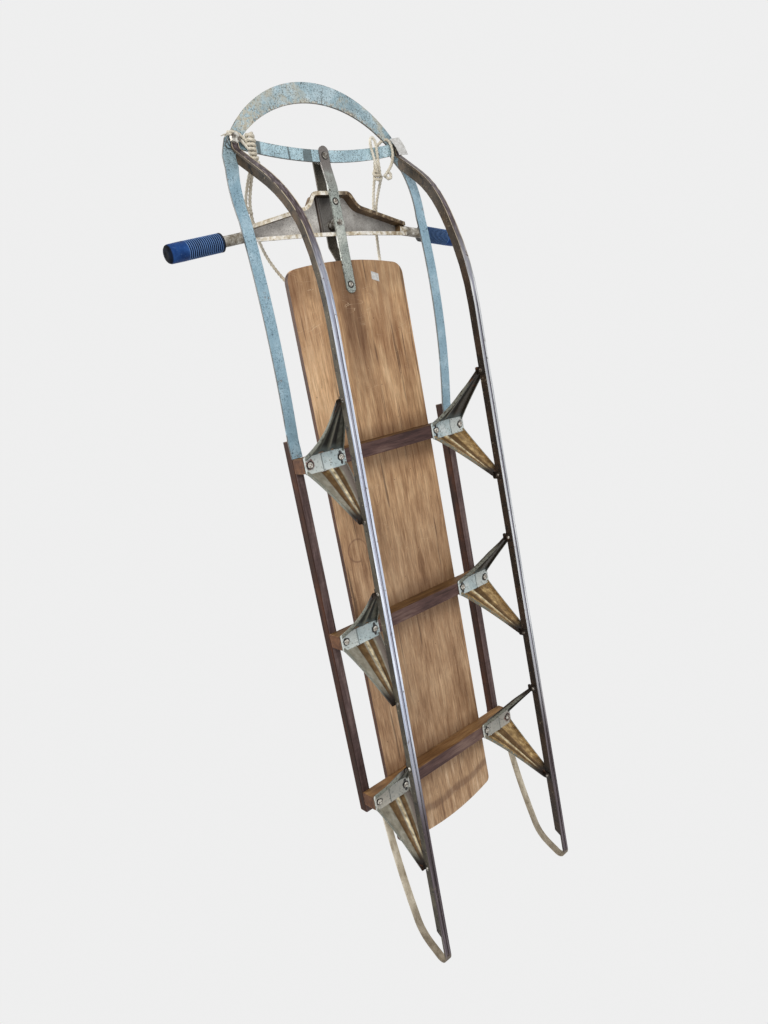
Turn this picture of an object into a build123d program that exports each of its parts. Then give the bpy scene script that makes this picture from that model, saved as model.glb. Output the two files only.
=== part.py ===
from build123d import *
import os
from math import asin, atan, cos, degrees, pi, radians, sin, sqrt, tan

# Steerable coaster sled with steel runners, standing on its runners.
# Millimetres. +X to the nose, +Y to the rider's left, +Z up.
# The origin is under the middle of its length and width, at the height of the runner faces.

# Clearances
PIN_CLEARANCE = 0.05       # radial, shaft in hole
ROPE_SEAT = 0.3            # rope above what it lies on
PIVOT_PLAY = 0.2           # each way along the pivot, steering bar between the collars
SEAT_GAP = 0.5             # end of the strut to the front crossbeam

# Runners: a grooved running face with an upright web
RUNNER_TOE = 0.885         # degrees by which the runners spread towards the tail
RUNNER_FLARE = 16.6        # how far the nose bends back out, to the corner bolt
FLARE_START_X = 430.0
FLARE_END_X = 575.0
FACE_W = 11.5
FACE_T = 3.0
GROOVE_W = 4.0
GROOVE_D = 1.0
GROOVE_RUNOUT = 40.0       # groove beyond the place where the face leaves the ground
WEB_T = 3.0
RUNNER_H = 17.0            # running face to web top
NOSE_START_X = 315.0       # where the face leaves the ground
NOSE_LOW_R = 377.0         # the nose curves gently at first
NOSE_LOW_TURN = 19.5
NOSE_HIGH_R = 211.0
NOSE_HIGH_TURN = 30.5
NOSE_TAB_R = 8.0
NOSE_TAB_Z = 130.0         # underside of the flat tab at the corner bolt
NOSE_STEP = 5.2            # most degrees from one section of the nose to the next

# Tail: the running face turns up and over and returns as a bowed strip to the rear crossbeam
TAIL_X = -667.5            # rearmost point
TAIL_R = 15.0
TAIL_DROP_ANGLE = 60.0     # slope of the short straight above the tail bend
TAIL_DROP = 21.0
TAIL_SHOULDER_R = 55.0
TAIL_STRIP_R = 1000.0
TAIL_STRIP_SLOPE = 6.0     # slope where the strip reaches the crossbeam
TAIL_TAB_R = 6.0
TAIL_TAB_BITE = 0.3        # what is cut off the tab to seat it flat on the crossbeam
TAIL_TAB_DROP = 1.0        # tab top below the beam top
WEB_TAIL_X = -626.0        # rear end of the web
WEB_TAIL_CUT = 10.0        # length of the slanted cut there

# Knees: stamped steel, one plate and two fluted legs each
KNEE_MID_X = -144.0
KNEE_SPACING = 274.0
PLATE_Y = 127.0            # centre of the plate
PLATE_LEN = 74.0
PLATE_W = 27.0
PLATE_T = 2.5
PLATE_Z = 97.5             # underside of the plate
PLATE_CORNER_R = 3.0
LEG_T = 3.0                # thickness along X
FOOT_SPREAD = 87.0         # knee centre to the outside of the foot
FOOT_W = 16.0
FLUTE_TOP = (11.0, 5.0)    # half width, depth
FLUTE_FOOT = (3.0, 2.0)
FOLD_TOP = 6.0             # depth of the folded edge
FOLD_FOOT = 5.0
FOOT_TAB_L = 12.0
FOOT_TAB_T = 2.5
FOOT_TAB_Z = 6.0           # lower end of the tab on the web
FOOT_TAB_LAP = 6.0         # how far the tab runs up into the leg

# Wooden parts
BEAM_W = 22.0
BEAM_H = 27.0
BEAM_EDGE_R = 1.5
RAIL_Y = 157.0
RAIL_W = 15.0
RAIL_H = 17.5
RAIL_EDGE_R = 2.5
RAIL_FRONT_LAP = 26.0      # rail beyond the front crossbeam
RAIL_REAR_LAP = 15.0       # and beyond the rear one
DECK_W = 222.0
DECK_T = 10.0
DECK_NOSE_X = 414.0
DECK_NOSE_ARCH = 10.0
DECK_NOSE_R = 20.0
DECK_TAIL_X = -549.0
DECK_TAIL_ARCH = 15.0
DECK_TAIL_R = 10.0
DECK_EDGE_R = 1.5

# Strap steel of the front frame
STRAP_T = 3.0
STRUT_W = 18.0
STRUT_BOW = 7.0            # how far the strut stands out from the rail
STRUT_MID_SHARE = 0.75     # share of the bow that it has halfway
STRUT_LEAN = 0.45          # share of its half width by which its tip lies across
STRUT_BEND_X = 473.0       # where it stands out most
STRUT_TURN = 36.0          # from here to the corner bolt it turns in
STRUT_TURN_OUT = 12.0      # how far out it still is there
STRUT_SAG_X = 345.0        # lowest place of the strut between rail and corner
STRUT_SAG_Z = 111.0
STRUT_RISE_X = 545.0       # from here it rises straight to the corner
STRUT_RISE_Z = 130.0
CORNER_X = 582.0           # corner bolts
CORNER_INSET = 8.0         # corner bolt inside the hoop's outer edge
TAB_REACH = 10.0           # strap beyond the corner bolt
HOOP_NOSE_X = 667.5
HOOP_W = 28.0              # width at the middle
HOOP_R = 185.0
HOOP_FLATTER = 7.0         # by which the radius of its inner curve is larger
HOOP_CORNER_R = 4.0
CROSS_W = 17.0
CROSS_BOW = 17.0           # how far its middle lies behind its ends
CROSS_CORNER_R = 6.0

# Centre straps and the steering bar between them
CENTRE_W = 17.0
CENTRE_T = 2.5
CENTRE_REAR_X = 365.0
CENTRE_REACH = 14.0        # strap beyond the spacer bolt
LOWER_LEVEL = 9.0          # the lower strap stays level this far beyond the hump
UPPER_RISE = 24.0          # the upper strap has risen this far beyond the deck
PIVOT_X = 468.5
BAR_T = 2.0
BAR_DEPTH = 17.0
BAR_GAP = 3.0              # bar to each centre strap
BAR_REAR_X = 454.0
BAR_RIM = 3.5              # rolled rim, outwards
BAR_RIM_H = 2.5
HUMP_FRONT_X = 511.5       # the middle stands forward of the arms
HUMP_Y = 32.5
HUMP_R = 9.0
HUMP_FOOT_X = 491.5
HUMP_FOOT_Y = 45.5
HUMP_FOOT_R = 24.0
ARM_FRONT_X = 468.0
ARM_END_Y = 152.0
ARM_FLAT_Y = 45.0          # the arms begin to rise here
BEAD_R = 3.0               # stamped beads either side of the pivot
BEAD_Y = 20.0
GRIP_Z = 153.0
GRIP_SWEEP = 8.4           # grips lean back, degrees
ROD_R = 7.5
ROD_START_Y = 138.0
GRIP_IN_Y = 188.0
GRIP_OUT_Y = 272.0
GRIP_R = 13.0
GRIP_END = 4.0             # closed end of the grip

# Pins and bolts
PIVOT_R = 3.0
PIVOT_HEAD_R = 4.5
PIVOT_HEAD_T = 2.0
COLLAR_R = 8.0
BOLT_R = 4.0
HEAD_T = 3.5
BOLT_HEAD_R = 7.5
NUT_T = 6.0

# Pull rope: a lead from each end of the crossbar over the bar and the deck to a coil
ROPE_R = 2.6
ROPE_WRAPS = 3             # turns of a knot round the crossbar
COIL_X = 255.0
COIL_R = 29.4              # middle of its turns
COIL_TURNS = 3             # turns beside each other
COIL_LAYERS = 2

# Places worked out from the above
HOOP_INNER_R = HOOP_R + HOOP_FLATTER
CORNER_Y = sqrt(HOOP_R ** 2 - (CORNER_X - HOOP_NOSE_X + HOOP_R) ** 2) - CORNER_INSET
SPACER_X = CORNER_X - CROSS_BOW
CENTRE_FRONT_X = SPACER_X + CENTRE_REACH
BEAM_Z = PLATE_Z + PLATE_T
DECK_Z = BEAM_Z + BEAM_H
CROSS_Z = NOSE_TAB_Z + FACE_T
HOOP_Z = CROSS_Z + STRAP_T
STRUT_Z = HOOP_Z + STRAP_T
STACK_TOP = STRUT_Z + STRAP_T
LOWER_Z = DECK_Z - CENTRE_T
LOWER_FRONT_Z = CROSS_Z - CENTRE_T
BAR_Z = DECK_Z + BAR_GAP
BAR_TOP = BAR_Z + BAR_DEPTH
UPPER_Z = BAR_TOP + BAR_GAP
KNEES = (("front", KNEE_MID_X + KNEE_SPACING), ("mid", KNEE_MID_X), ("rear", KNEE_MID_X - KNEE_SPACING))
SIDES = (("left", 1), ("right", -1))
BEAM_REAR_X = KNEES[2][1] - BEAM_W / 2
BEAM_FRONT_X = KNEES[0][1] + BEAM_W / 2
RAIL_REAR_X = BEAM_REAR_X - RAIL_REAR_LAP
RAIL_FRONT_X = BEAM_FRONT_X + RAIL_FRONT_LAP


def heading(point, angle, length):
    """The point reached from a point of the XZ plane along a heading in degrees."""
    return (point[0] + length * cos(radians(angle)), point[1] + length * sin(radians(angle)))


def walk(start, angle, steps, offset):
    """Edges of a line in XZ, shifted to its left. A step is (length, 0) or (radius, turn)."""
    edges = []
    point = heading(start, angle + 90, offset)
    for size, turn in steps:
        if turn == 0:
            end = heading(point, angle, size)
            edges.append(Line((point[0], 0, point[1]), (end[0], 0, end[1])))
        else:
            radius = size - offset if turn > 0 else size + offset
            side = 90 if turn > 0 else -90
            centre = heading(point, angle + side, radius)
            middle = heading(centre, angle - side + turn / 2, radius)
            end = heading(centre, angle - side + turn, radius)
            arc = [(x, 0, z) for x, z in (point, middle, end)]
            edges.append(ThreePointArc(*arc))
            angle = angle + turn
        point = end
    return edges


def band(start, angle, steps, low, high, width):
    """A strip that follows a line in XZ, from one offset to another, centred on Y."""
    first = walk(start, angle, steps, low)
    second = walk(start, angle, steps, high)
    caps = [Line(first[0] @ 0, second[0] @ 0), Line(first[-1] @ 1, second[-1] @ 1)]
    face = make_face(first + second + caps)
    return extrude(face, amount=width / 2, dir=(0, 1, 0), both=True)


def side_prism(points, width):
    """A polygon in XZ, as wide as asked and centred on Y."""
    face = make_face(Polyline([(x, 0, z) for x, z in points], close=True))
    return extrude(face, amount=width / 2, dir=(0, 1, 0), both=True)


def plan_prism(edges, z_low, z_high):
    """A closed outline in XY, from one height to another."""
    return extrude(Pos(0, 0, z_low) * make_face(edges), amount=z_high - z_low, dir=(0, 0, 1))


def bar_hole(x, y, z_low, z_high, radius):
    """A round cutter along Z."""
    return Pos(x, y, (z_low + z_high) / 2) * Cylinder(radius, z_high - z_low)


def runner_y(x):
    """Middle of the left runner: straight from the tail, then bent out to the corner bolt."""
    t = min(max((x - FLARE_START_X) / (FLARE_END_X - FLARE_START_X), 0), 1)
    inside = RUNNER_FLARE * (1 - t * t * (3 - 2 * t))
    return CORNER_Y - inside + (CORNER_X - x) * tan(radians(RUNNER_TOE))


def mirrored(solid, side):
    """The left part as it is, or its mirror image on the right."""
    return solid if side > 0 else mirror(solid, about=Plane.XZ)


def on_runner_line(solid):
    """Turns a piece built on the X axis to the straight line of the left runner."""
    toe = Pos(NOSE_START_X, runner_y(NOSE_START_X), 0) * Rot(0, 0, -RUNNER_TOE)
    return toe * Pos(-NOSE_START_X, 0, 0) * solid


def tail_steps():
    """The running face from the tab on the rear crossbeam, round the tail, to where the nose starts."""
    centre_x = TAIL_X + TAIL_R
    drop, slope = radians(TAIL_DROP_ANGLE), radians(TAIL_STRIP_SLOPE)
    drop_x = centre_x - TAIL_R * sin(drop) + TAIL_DROP * cos(drop)
    drop_z = TAIL_R + TAIL_R * cos(drop) + TAIL_DROP * sin(drop)
    tab_x = BEAM_REAR_X - FACE_T + TAIL_TAB_BITE
    strip_x = tab_x - TAIL_TAB_R * (1 - sin(slope))
    run = strip_x + TAIL_STRIP_R * sin(slope) - drop_x - TAIL_SHOULDER_R * sin(drop)
    shoulder = asin(run / (TAIL_STRIP_R - TAIL_SHOULDER_R))
    strip_z = (drop_z + TAIL_SHOULDER_R * (cos(shoulder) - cos(drop))
               + TAIL_STRIP_R * (cos(slope) - cos(shoulder)))
    top = DECK_Z - TAIL_TAB_DROP
    steps = [
        (top - strip_z - TAIL_TAB_R * cos(slope), 0), (TAIL_TAB_R, TAIL_STRIP_SLOPE - 90),
        (TAIL_STRIP_R, degrees(shoulder) - TAIL_STRIP_SLOPE),
        (TAIL_SHOULDER_R, TAIL_DROP_ANGLE - degrees(shoulder)),
        (TAIL_DROP, 0), (TAIL_R, 180 - TAIL_DROP_ANGLE), (NOSE_START_X - centre_x, 0),
    ]
    return (tab_x, top), steps


def nose_stations():
    """Places along the nose's running face, as (x, z, slope in degrees), and how many carry the web."""
    x, z, angle = NOSE_START_X, 0.0, 0.0
    places = [(x, z, angle)]
    turn = NOSE_LOW_TURN + NOSE_HIGH_TURN
    tab_rise = NOSE_TAB_R * (1 - cos(radians(turn)))
    for radius, turned in ((NOSE_LOW_R, NOSE_LOW_TURN), (NOSE_HIGH_R, NOSE_HIGH_TURN), (NOSE_TAB_R, -turn)):
        if turned < 0:
            length = (NOSE_TAB_Z - tab_rise - z) / sin(radians(turn))
            x, z = heading((x, z), turn, length)
            places.append((x, z, angle))
            with_web = len(places)
        count = int(abs(turned) / NOSE_STEP) + 1
        for _ in range(count):
            step = turned / count
            chord = 2 * radius * sin(radians(abs(step) / 2))
            x, z = heading((x, z), angle + step / 2, chord)
            angle += step
            places.append((x, z, angle))
    places.append((CORNER_X + TAB_REACH, z, 0.0))
    return places, with_web


def across_nose(place, points):
    """A section of the nose, square to its line, from points (across, up from the running face)."""
    x, z, slope = place
    yaw = degrees(atan((runner_y(x + 1) - runner_y(x - 1)) / 2))
    square = Pos(x, runner_y(x), z) * Rot(0, 0, yaw) * Rot(0, -slope, 0)
    return square * make_face(Polyline([(0, across, up) for across, up in points], close=True))


def runner(side):
    face_half, web_half = FACE_W / 2, WEB_T / 2
    start, steps = tail_steps()
    rear = band(start, -90, steps, 0, FACE_T, FACE_W)
    web = band((WEB_TAIL_X, 0), 0, [(NOSE_START_X - WEB_TAIL_X, 0)], FACE_T / 2, RUNNER_H, WEB_T)
    cut = side_prism([(WEB_TAIL_X - 1, FACE_T), (WEB_TAIL_X + WEB_TAIL_CUT, RUNNER_H + 1),
                      (WEB_TAIL_X - 1, RUNNER_H + 1)], 2 * WEB_T)
    places, with_web = nose_stations()
    plate = [(-face_half, 0), (face_half, 0), (face_half, FACE_T), (-face_half, FACE_T)]
    upright = [(web_half, FACE_T), (web_half, RUNNER_H), (-web_half, RUNNER_H), (-web_half, FACE_T)]
    tee = plate[:3] + upright + plate[3:]
    nose = loft([across_nose(place, tee) for place in places[:with_web]], ruled=True)
    tab = loft([across_nose(place, plate) for place in places[with_web - 1:]], ruled=True)
    solid = on_runner_line(rear + (web - cut)) + nose + tab
    groove_l = NOSE_START_X + GROOVE_RUNOUT - TAIL_X - TAIL_R
    groove = band((TAIL_X + TAIL_R, 0), 0, [(groove_l, 0)], -1, GROOVE_D, GROOVE_W)
    solid -= on_runner_line(groove)
    solid -= Pos(CORNER_X, CORNER_Y, CROSS_Z + RUNNER_H) * Box(8 * FACE_W, 4 * FACE_W, 2 * RUNNER_H)
    solid -= Pos(BEAM_REAR_X + BEAM_W / 2, RAIL_Y, BEAM_Z + BEAM_H / 2) * Box(BEAM_W, 2 * BEAM_H, BEAM_H)
    solid -= bar_hole(CORNER_X, CORNER_Y, NOSE_TAB_Z - 1, CROSS_Z + 1, BOLT_R + PIN_CLEARANCE)
    return mirrored(solid, side)


def leg_section(half, flute, fold, z):
    """Plan section of a leg: a channel with a flute down its middle, open towards -X."""
    wide, deep = flute
    inner = min(wide, half - 1.2 * LEG_T)
    points = [
        (0, -half), (0, -wide), (-deep, 0), (0, wide), (0, half),
        (-fold, half), (-fold, half - LEG_T), (-LEG_T, half - LEG_T),
        (-LEG_T, inner), (-deep - LEG_T, 0), (-LEG_T, -inner),
        (-LEG_T, LEG_T - half), (-fold, LEG_T - half), (-fold, -half),
    ]
    return make_face(Polyline([(x, y, z) for x, y in points], close=True))


def knee_leg(x, end):
    """The leg towards the nose (end 1) or the tail (end -1), with its tab on the runner's web."""
    foot_x = x + end * (FOOT_SPREAD - FOLD_FOOT / 2)
    web_y = runner_y(foot_x) - WEB_T / 2
    turn = 0 if end > 0 else 180
    top = Pos(x + end * PLATE_W / 2, PLATE_Y, 0) * Rot(0, 0, turn) * leg_section(
        PLATE_LEN / 2 - 1, FLUTE_TOP, FOLD_TOP, BEAM_Z)
    foot = Pos(x + end * FOOT_SPREAD, web_y - FOOT_TAB_T + FOOT_W / 4, 0) * Rot(0, 0, turn) * leg_section(
        FOOT_W / 2, FLUTE_FOOT, FOLD_FOOT, RUNNER_H)
    tab_h = RUNNER_H + FOOT_TAB_LAP - FOOT_TAB_Z
    tab = Pos(0, -FOOT_TAB_T / 2, 0) * Box(FOOT_TAB_L, FOOT_TAB_T, tab_h)
    tab = Pos(foot_x, web_y, FOOT_TAB_Z + tab_h / 2) * Rot(0, 0, -RUNNER_TOE) * tab
    return loft([foot, top], ruled=True) + tab


def knee(x, side):
    plate = Pos(x, PLATE_Y, PLATE_Z + PLATE_T / 2) * Box(PLATE_W, PLATE_LEN, PLATE_T)
    plate = fillet(plate.edges().filter_by(Axis.Z), PLATE_CORNER_R)
    return mirrored(plate + knee_leg(x, 1) + knee_leg(x, -1), side)


def crossbeam(x):
    solid = Pos(x, 0, BEAM_Z + BEAM_H / 2) * Box(BEAM_W, 2 * RAIL_Y + RAIL_W, BEAM_H)
    return fillet(solid.edges().filter_by(Axis.Y), BEAM_EDGE_R)


def side_rail(side):
    length = RAIL_FRONT_X - RAIL_REAR_X
    solid = Pos((RAIL_FRONT_X + RAIL_REAR_X) / 2, RAIL_Y, DECK_Z + RAIL_H / 2) * Box(length, RAIL_W, RAIL_H)
    solid = fillet(solid.edges().filter_by(Axis.X), RAIL_EDGE_R)
    return mirrored(solid, side)


def deck_board():
    half = DECK_W / 2
    nose = DECK_NOSE_X - DECK_NOSE_ARCH
    tail = DECK_TAIL_X + DECK_TAIL_ARCH
    outline = make_face([
        ThreePointArc((nose, -half), (DECK_NOSE_X, 0), (nose, half)), Line((nose, half), (tail, half)),
        ThreePointArc((tail, half), (DECK_TAIL_X, 0), (tail, -half)), Line((tail, -half), (nose, -half)),
    ])
    solid = extrude(Pos(0, 0, DECK_Z) * outline, amount=DECK_T, dir=(0, 0, 1))
    upright = solid.edges().filter_by(Axis.Z).sort_by(Axis.X)
    solid = fillet(upright[2:], DECK_NOSE_R)
    upright = solid.edges().filter_by(Axis.Z).sort_by(Axis.X)
    solid = fillet(upright[:2], DECK_TAIL_R)
    return chamfer(solid.faces().sort_by(Axis.Z)[-1].edges(), DECK_EDGE_R)


def strip(points, thickness, width):
    """A flat strip that bends up and down along X, given by its underside."""
    upper = [(x, z + thickness) for x, z in reversed(points)]
    return side_prism(list(points) + upper, width)


def strut_rise(lift):
    """Edges of the strut's side view, from under the rail to the corner, raised by a lift."""
    rear_x = BEAM_FRONT_X + SEAT_GAP
    points = [(rear_x, DECK_Z - STRAP_T), (RAIL_FRONT_X, DECK_Z - STRAP_T), (STRUT_SAG_X, STRUT_SAG_Z),
              (STRUT_RISE_X, STRUT_RISE_Z), (CORNER_X - STRUT_W, STRUT_Z), (CORNER_X + STRUT_W, STRUT_Z)]
    rear, rail, sag, rise, tip, end = [(x, 0, z + lift) for x, z in points]
    return [Line(rear, rail), ThreePointArc(rail, sag, rise), Line(rise, tip), Line(tip, end)]


def side_strut(side):
    low = strut_rise(0)
    high = strut_rise(STRAP_T)
    profile = make_face(low + high + [Line(low[0] @ 0, high[0] @ 0), Line(low[-1] @ 1, high[-1] @ 1)])
    reach = RAIL_Y + STRUT_W + 2 * STRUT_BOW
    lift = extrude(profile, amount=reach, dir=(0, 1, 0), both=True)
    w = STRUT_W / 2
    rear = low[0].position_at(0).X
    bend_x, bend_y = STRUT_BEND_X, RAIL_Y + STRUT_BOW
    mid_x, mid_y = (rear + bend_x) / 2, RAIL_Y + STRUT_MID_SHARE * STRUT_BOW
    turn_x, turn_y = CORNER_X - STRUT_TURN, CORNER_Y + STRUT_TURN_OUT
    lean = STRUT_LEAN * w
    tip = (CORNER_X + lean, CORNER_Y + w)
    outline = [
        ThreePointArc((rear, RAIL_Y - w), (mid_x, mid_y - w), (bend_x, bend_y - w)),
        ThreePointArc((bend_x, bend_y - w), (turn_x - lean, turn_y - w), (CORNER_X - w, CORNER_Y - w)),
        ThreePointArc((CORNER_X - w, CORNER_Y - w), (CORNER_X + w, CORNER_Y - lean), tip),
        ThreePointArc(tip, (turn_x + lean, turn_y + w), (bend_x, bend_y + w)),
        ThreePointArc((bend_x, bend_y + w), (mid_x, mid_y + w), (rear, RAIL_Y + w)),
        Line((rear, RAIL_Y + w), (rear, RAIL_Y - w)),
    ]
    solid = lift & plan_prism(outline, PLATE_Z, STACK_TOP + 1)
    solid -= bar_hole(CORNER_X, CORNER_Y, STRUT_Z - 1, STACK_TOP + 1, BOLT_R + PIN_CLEARANCE)
    return mirrored(solid, side)


def bumper_hoop():
    outer = Pos(HOOP_NOSE_X - HOOP_R, 0, HOOP_Z + STRAP_T / 2) * Cylinder(HOOP_R, STRAP_T)
    inner_x = HOOP_NOSE_X - HOOP_W - HOOP_INNER_R
    inner = Pos(inner_x, 0, HOOP_Z + STRAP_T / 2) * Cylinder(HOOP_INNER_R, 2 * STRAP_T)
    keep = Pos(CORNER_X - TAB_REACH + HOOP_R, 0, HOOP_Z) * Box(2 * HOOP_R, 3 * HOOP_R, 4 * STRAP_T)
    solid = (outer - inner) & keep
    solid = fillet(solid.edges().filter_by(Axis.Z), HOOP_CORNER_R)
    for _, side in SIDES:
        solid -= bar_hole(CORNER_X, side * CORNER_Y, HOOP_Z - 1, STRUT_Z + 1, BOLT_R + PIN_CLEARANCE)
    return solid


def front_crossbar():
    w = CROSS_W / 2
    end_y = CORNER_Y + CORNER_INSET
    mid_x = SPACER_X
    solid = plan_prism([
        ThreePointArc((CORNER_X - w, -end_y), (mid_x - w, 0), (CORNER_X - w, end_y)),
        Line((CORNER_X - w, end_y), (CORNER_X + w, end_y)),
        ThreePointArc((CORNER_X + w, end_y), (mid_x + w, 0), (CORNER_X + w, -end_y)),
        Line((CORNER_X + w, -end_y), (CORNER_X - w, -end_y)),
    ], CROSS_Z, HOOP_Z)
    solid = fillet(solid.edges().filter_by(Axis.Z), CROSS_CORNER_R)
    for _, side in SIDES:
        solid -= bar_hole(CORNER_X, side * CORNER_Y, CROSS_Z - 1, HOOP_Z + 1, BOLT_R + PIN_CLEARANCE)
    return solid - bar_hole(SPACER_X, 0, CROSS_Z - 1, HOOP_Z + 1, PIVOT_R + PIN_CLEARANCE)


def centre_strap(points):
    w = CENTRE_W / 2
    length = CENTRE_FRONT_X - CENTRE_REAR_X
    solid = strip(points, CENTRE_T, CENTRE_W)
    rounded = Pos((CENTRE_FRONT_X + CENTRE_REAR_X) / 2, 0, DECK_Z) * extrude(
        SlotOverall(length, CENTRE_W), amount=4 * BAR_DEPTH, both=True)
    solid = solid & rounded
    for x in (PIVOT_X, SPACER_X):
        solid -= bar_hole(x, 0, BEAM_Z, GRIP_Z + w, PIVOT_R + PIN_CLEARANCE)
    return solid


def centre_strap_lower():
    return centre_strap([(CENTRE_REAR_X, LOWER_Z), (HUMP_FRONT_X + LOWER_LEVEL, LOWER_Z),
                         (SPACER_X - CENTRE_REACH, LOWER_FRONT_Z), (CENTRE_FRONT_X, LOWER_FRONT_Z)])


def centre_strap_upper():
    top = DECK_Z + DECK_T
    return centre_strap([(CENTRE_REAR_X, top), (DECK_NOSE_X + 1, top), (DECK_NOSE_X + UPPER_RISE, UPPER_Z),
                         (CENTRE_FRONT_X, UPPER_Z)])


def bar_outline():
    """The steering bar's wall line seen from above, with longer arms than needed."""
    run = (HUMP_FOOT_X - ARM_FRONT_X) / (ARM_END_Y - HUMP_FOOT_Y)
    end_y = 2 * ARM_END_Y
    half = [
        (HUMP_FRONT_X, HUMP_Y), (HUMP_FOOT_X, HUMP_FOOT_Y),
        (ARM_FRONT_X - run * (end_y - ARM_END_Y), end_y), (BAR_REAR_X, end_y),
    ]
    points = half + [(x, -y) for x, y in reversed(half)]
    face = make_face(Polyline(points, close=True))
    shoulders = face.vertices().filter_by(lambda v: abs(abs(v.Y) - HUMP_Y) < 0.1)
    face = fillet(shoulders, HUMP_R)
    feet = face.vertices().filter_by(lambda v: abs(abs(v.Y) - HUMP_FOOT_Y) < 0.1)
    return fillet(feet, HUMP_FOOT_R)


def bar_elevation(low, high, end_y):
    """The bar's front view between two heights above its rim line, along the whole of X."""
    rise = GRIP_Z - ROD_R - BAR_Z
    half = [(0, low), (ARM_FLAT_Y, low), (end_y, low + rise),
            (end_y, high + rise), (ARM_FLAT_Y, high), (0, high)]
    points = half + [(-y, z) for y, z in reversed(half[1:-1])]
    face = make_face(Polyline([(0, y, BAR_Z + z) for y, z in points], close=True))
    reach = 2 * (HUMP_FRONT_X - BAR_REAR_X)
    return Pos(PIVOT_X, 0, 0) * extrude(face, amount=reach, dir=(1, 0, 0), both=True)


def on_grip_axis(solid):
    """Moves a piece built along Y to the axis of the left grip."""
    swing = Pos(ROD_START_Y * sin(radians(GRIP_SWEEP)), 0, 0)
    return Pos((ARM_FRONT_X + BAR_REAR_X) / 2, 0, GRIP_Z) * Rot(0, 0, GRIP_SWEEP) * swing * solid


def rod_along_y(radius, start, end):
    return Pos(0, (start + end) / 2, 0) * Rot(90, 0, 0) * Cylinder(radius, end - start)


def steering_bar():
    outline = bar_outline()
    low = Pos(0, 0, BAR_Z - BAR_RIM_H)
    tall = GRIP_Z - BAR_Z + BAR_DEPTH
    body = extrude(low * outline, amount=tall, dir=(0, 0, 1)) & bar_elevation(0, BAR_DEPTH, ARM_END_Y)
    rims = extrude(low * offset(outline, BAR_RIM), amount=tall, dir=(0, 0, 1))
    rims = rims & bar_elevation(0, BAR_RIM_H, ARM_END_Y)
    hollow = extrude(low * offset(outline, -BAR_T), amount=tall, dir=(0, 0, 1))
    hollow = hollow & bar_elevation(-BAR_T, BAR_DEPTH - BAR_T, ARM_END_Y + 1)
    solid = body + rims - hollow
    length = HUMP_FRONT_X - BAR_REAR_X - BAR_T
    for _, side in SIDES:
        bead = Pos((HUMP_FRONT_X + BAR_REAR_X) / 2, side * BEAD_Y, BAR_TOP - BAR_T) * Rot(0, 90, 0)
        solid += (bead * Cylinder(BEAD_R, length)) & Pos(PIVOT_X, 0, BAR_TOP - BAR_T - BEAD_R) * Box(
            2 * length, 4 * BEAD_Y, 2 * BEAD_R + BAR_T)
    solid -= bar_hole(PIVOT_X, 0, BAR_Z - BAR_T, BAR_TOP + BAR_T, PIVOT_R + PIN_CLEARANCE)
    rod = on_grip_axis(rod_along_y(ROD_R, ROD_START_Y, GRIP_OUT_Y - GRIP_END))
    return solid + rod + mirrored(rod, -1)


def grip(side):
    sleeve = rod_along_y(GRIP_R, GRIP_IN_Y, GRIP_OUT_Y)
    sleeve = fillet(sleeve.edges().filter_by(GeomType.CIRCLE).sort_by(Axis.Y)[-1], GRIP_END)
    bore = rod_along_y(ROD_R + PIN_CLEARANCE, GRIP_IN_Y, GRIP_OUT_Y - GRIP_END)
    return mirrored(on_grip_axis(sleeve - bore), side)


def stepped_pin(x, steps):
    """A pin along Z from (low, high, radius) steps."""
    solid = bar_hole(x, 0, *steps[0])
    for low, high, radius in steps[1:]:
        solid += bar_hole(x, 0, low, high, radius)
    return solid


def pivot_bolt():
    top = UPPER_Z + CENTRE_T
    return stepped_pin(PIVOT_X, [
        (LOWER_Z - PIVOT_HEAD_T, LOWER_Z, PIVOT_HEAD_R), (LOWER_Z, top, PIVOT_R),
        (DECK_Z, BAR_TOP - BAR_T - PIVOT_PLAY, COLLAR_R), (BAR_TOP + PIVOT_PLAY, UPPER_Z, COLLAR_R),
        (top, top + PIVOT_HEAD_T, PIVOT_HEAD_R),
    ])


def spacer_bolt():
    top = UPPER_Z + CENTRE_T
    return stepped_pin(SPACER_X, [
        (LOWER_FRONT_Z - PIVOT_HEAD_T, LOWER_FRONT_Z, PIVOT_HEAD_R), (LOWER_FRONT_Z, top, PIVOT_R),
        (HOOP_Z, UPPER_Z, BOLT_HEAD_R), (top, top + PIVOT_HEAD_T, PIVOT_HEAD_R),
    ])


def corner_bolt(side):
    solid = bar_hole(CORNER_X, CORNER_Y, NOSE_TAB_Z, STACK_TOP, BOLT_R)
    nut = extrude(RegularPolygon(BOLT_HEAD_R, 6), amount=NUT_T, dir=(0, 0, 1))
    solid += Pos(CORNER_X, CORNER_Y, NOSE_TAB_Z - NUT_T) * nut
    solid += bar_hole(CORNER_X, CORNER_Y, STACK_TOP, STACK_TOP + HEAD_T, BOLT_HEAD_R)
    return mirrored(solid, side)


# Routes of the pull rope's two leads, from the crossbar to the coil
LEADS = {
    "left": [
        (565, 104, 138.9), (550, 104, 142.5), (528, 106, 155), (503, 107.5, 166), (472, 107.5, 168.5),
        (437, 104.5, 168.5), (406, 98, 162), (375, 87.5, 147.5), (342, 70, 140.6), (310, 49.5, 140.6),
        (284, 37.5, 143), (260, 34.8, 145.2),
    ],
    "right": [
        (565, -119, 138.9), (550, -119.5, 142.5), (528, -121.5, 156), (505, -122.5, 168), (472, -121, 169.5),
        (437, -113, 169.5), (406, -98.5, 163.5), (375, -83, 148.5), (342, -65.5, 140.6), (310, -46, 139.9),
        (284, -36.5, 140), (260, -34.8, 139.9),
    ],
}


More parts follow.
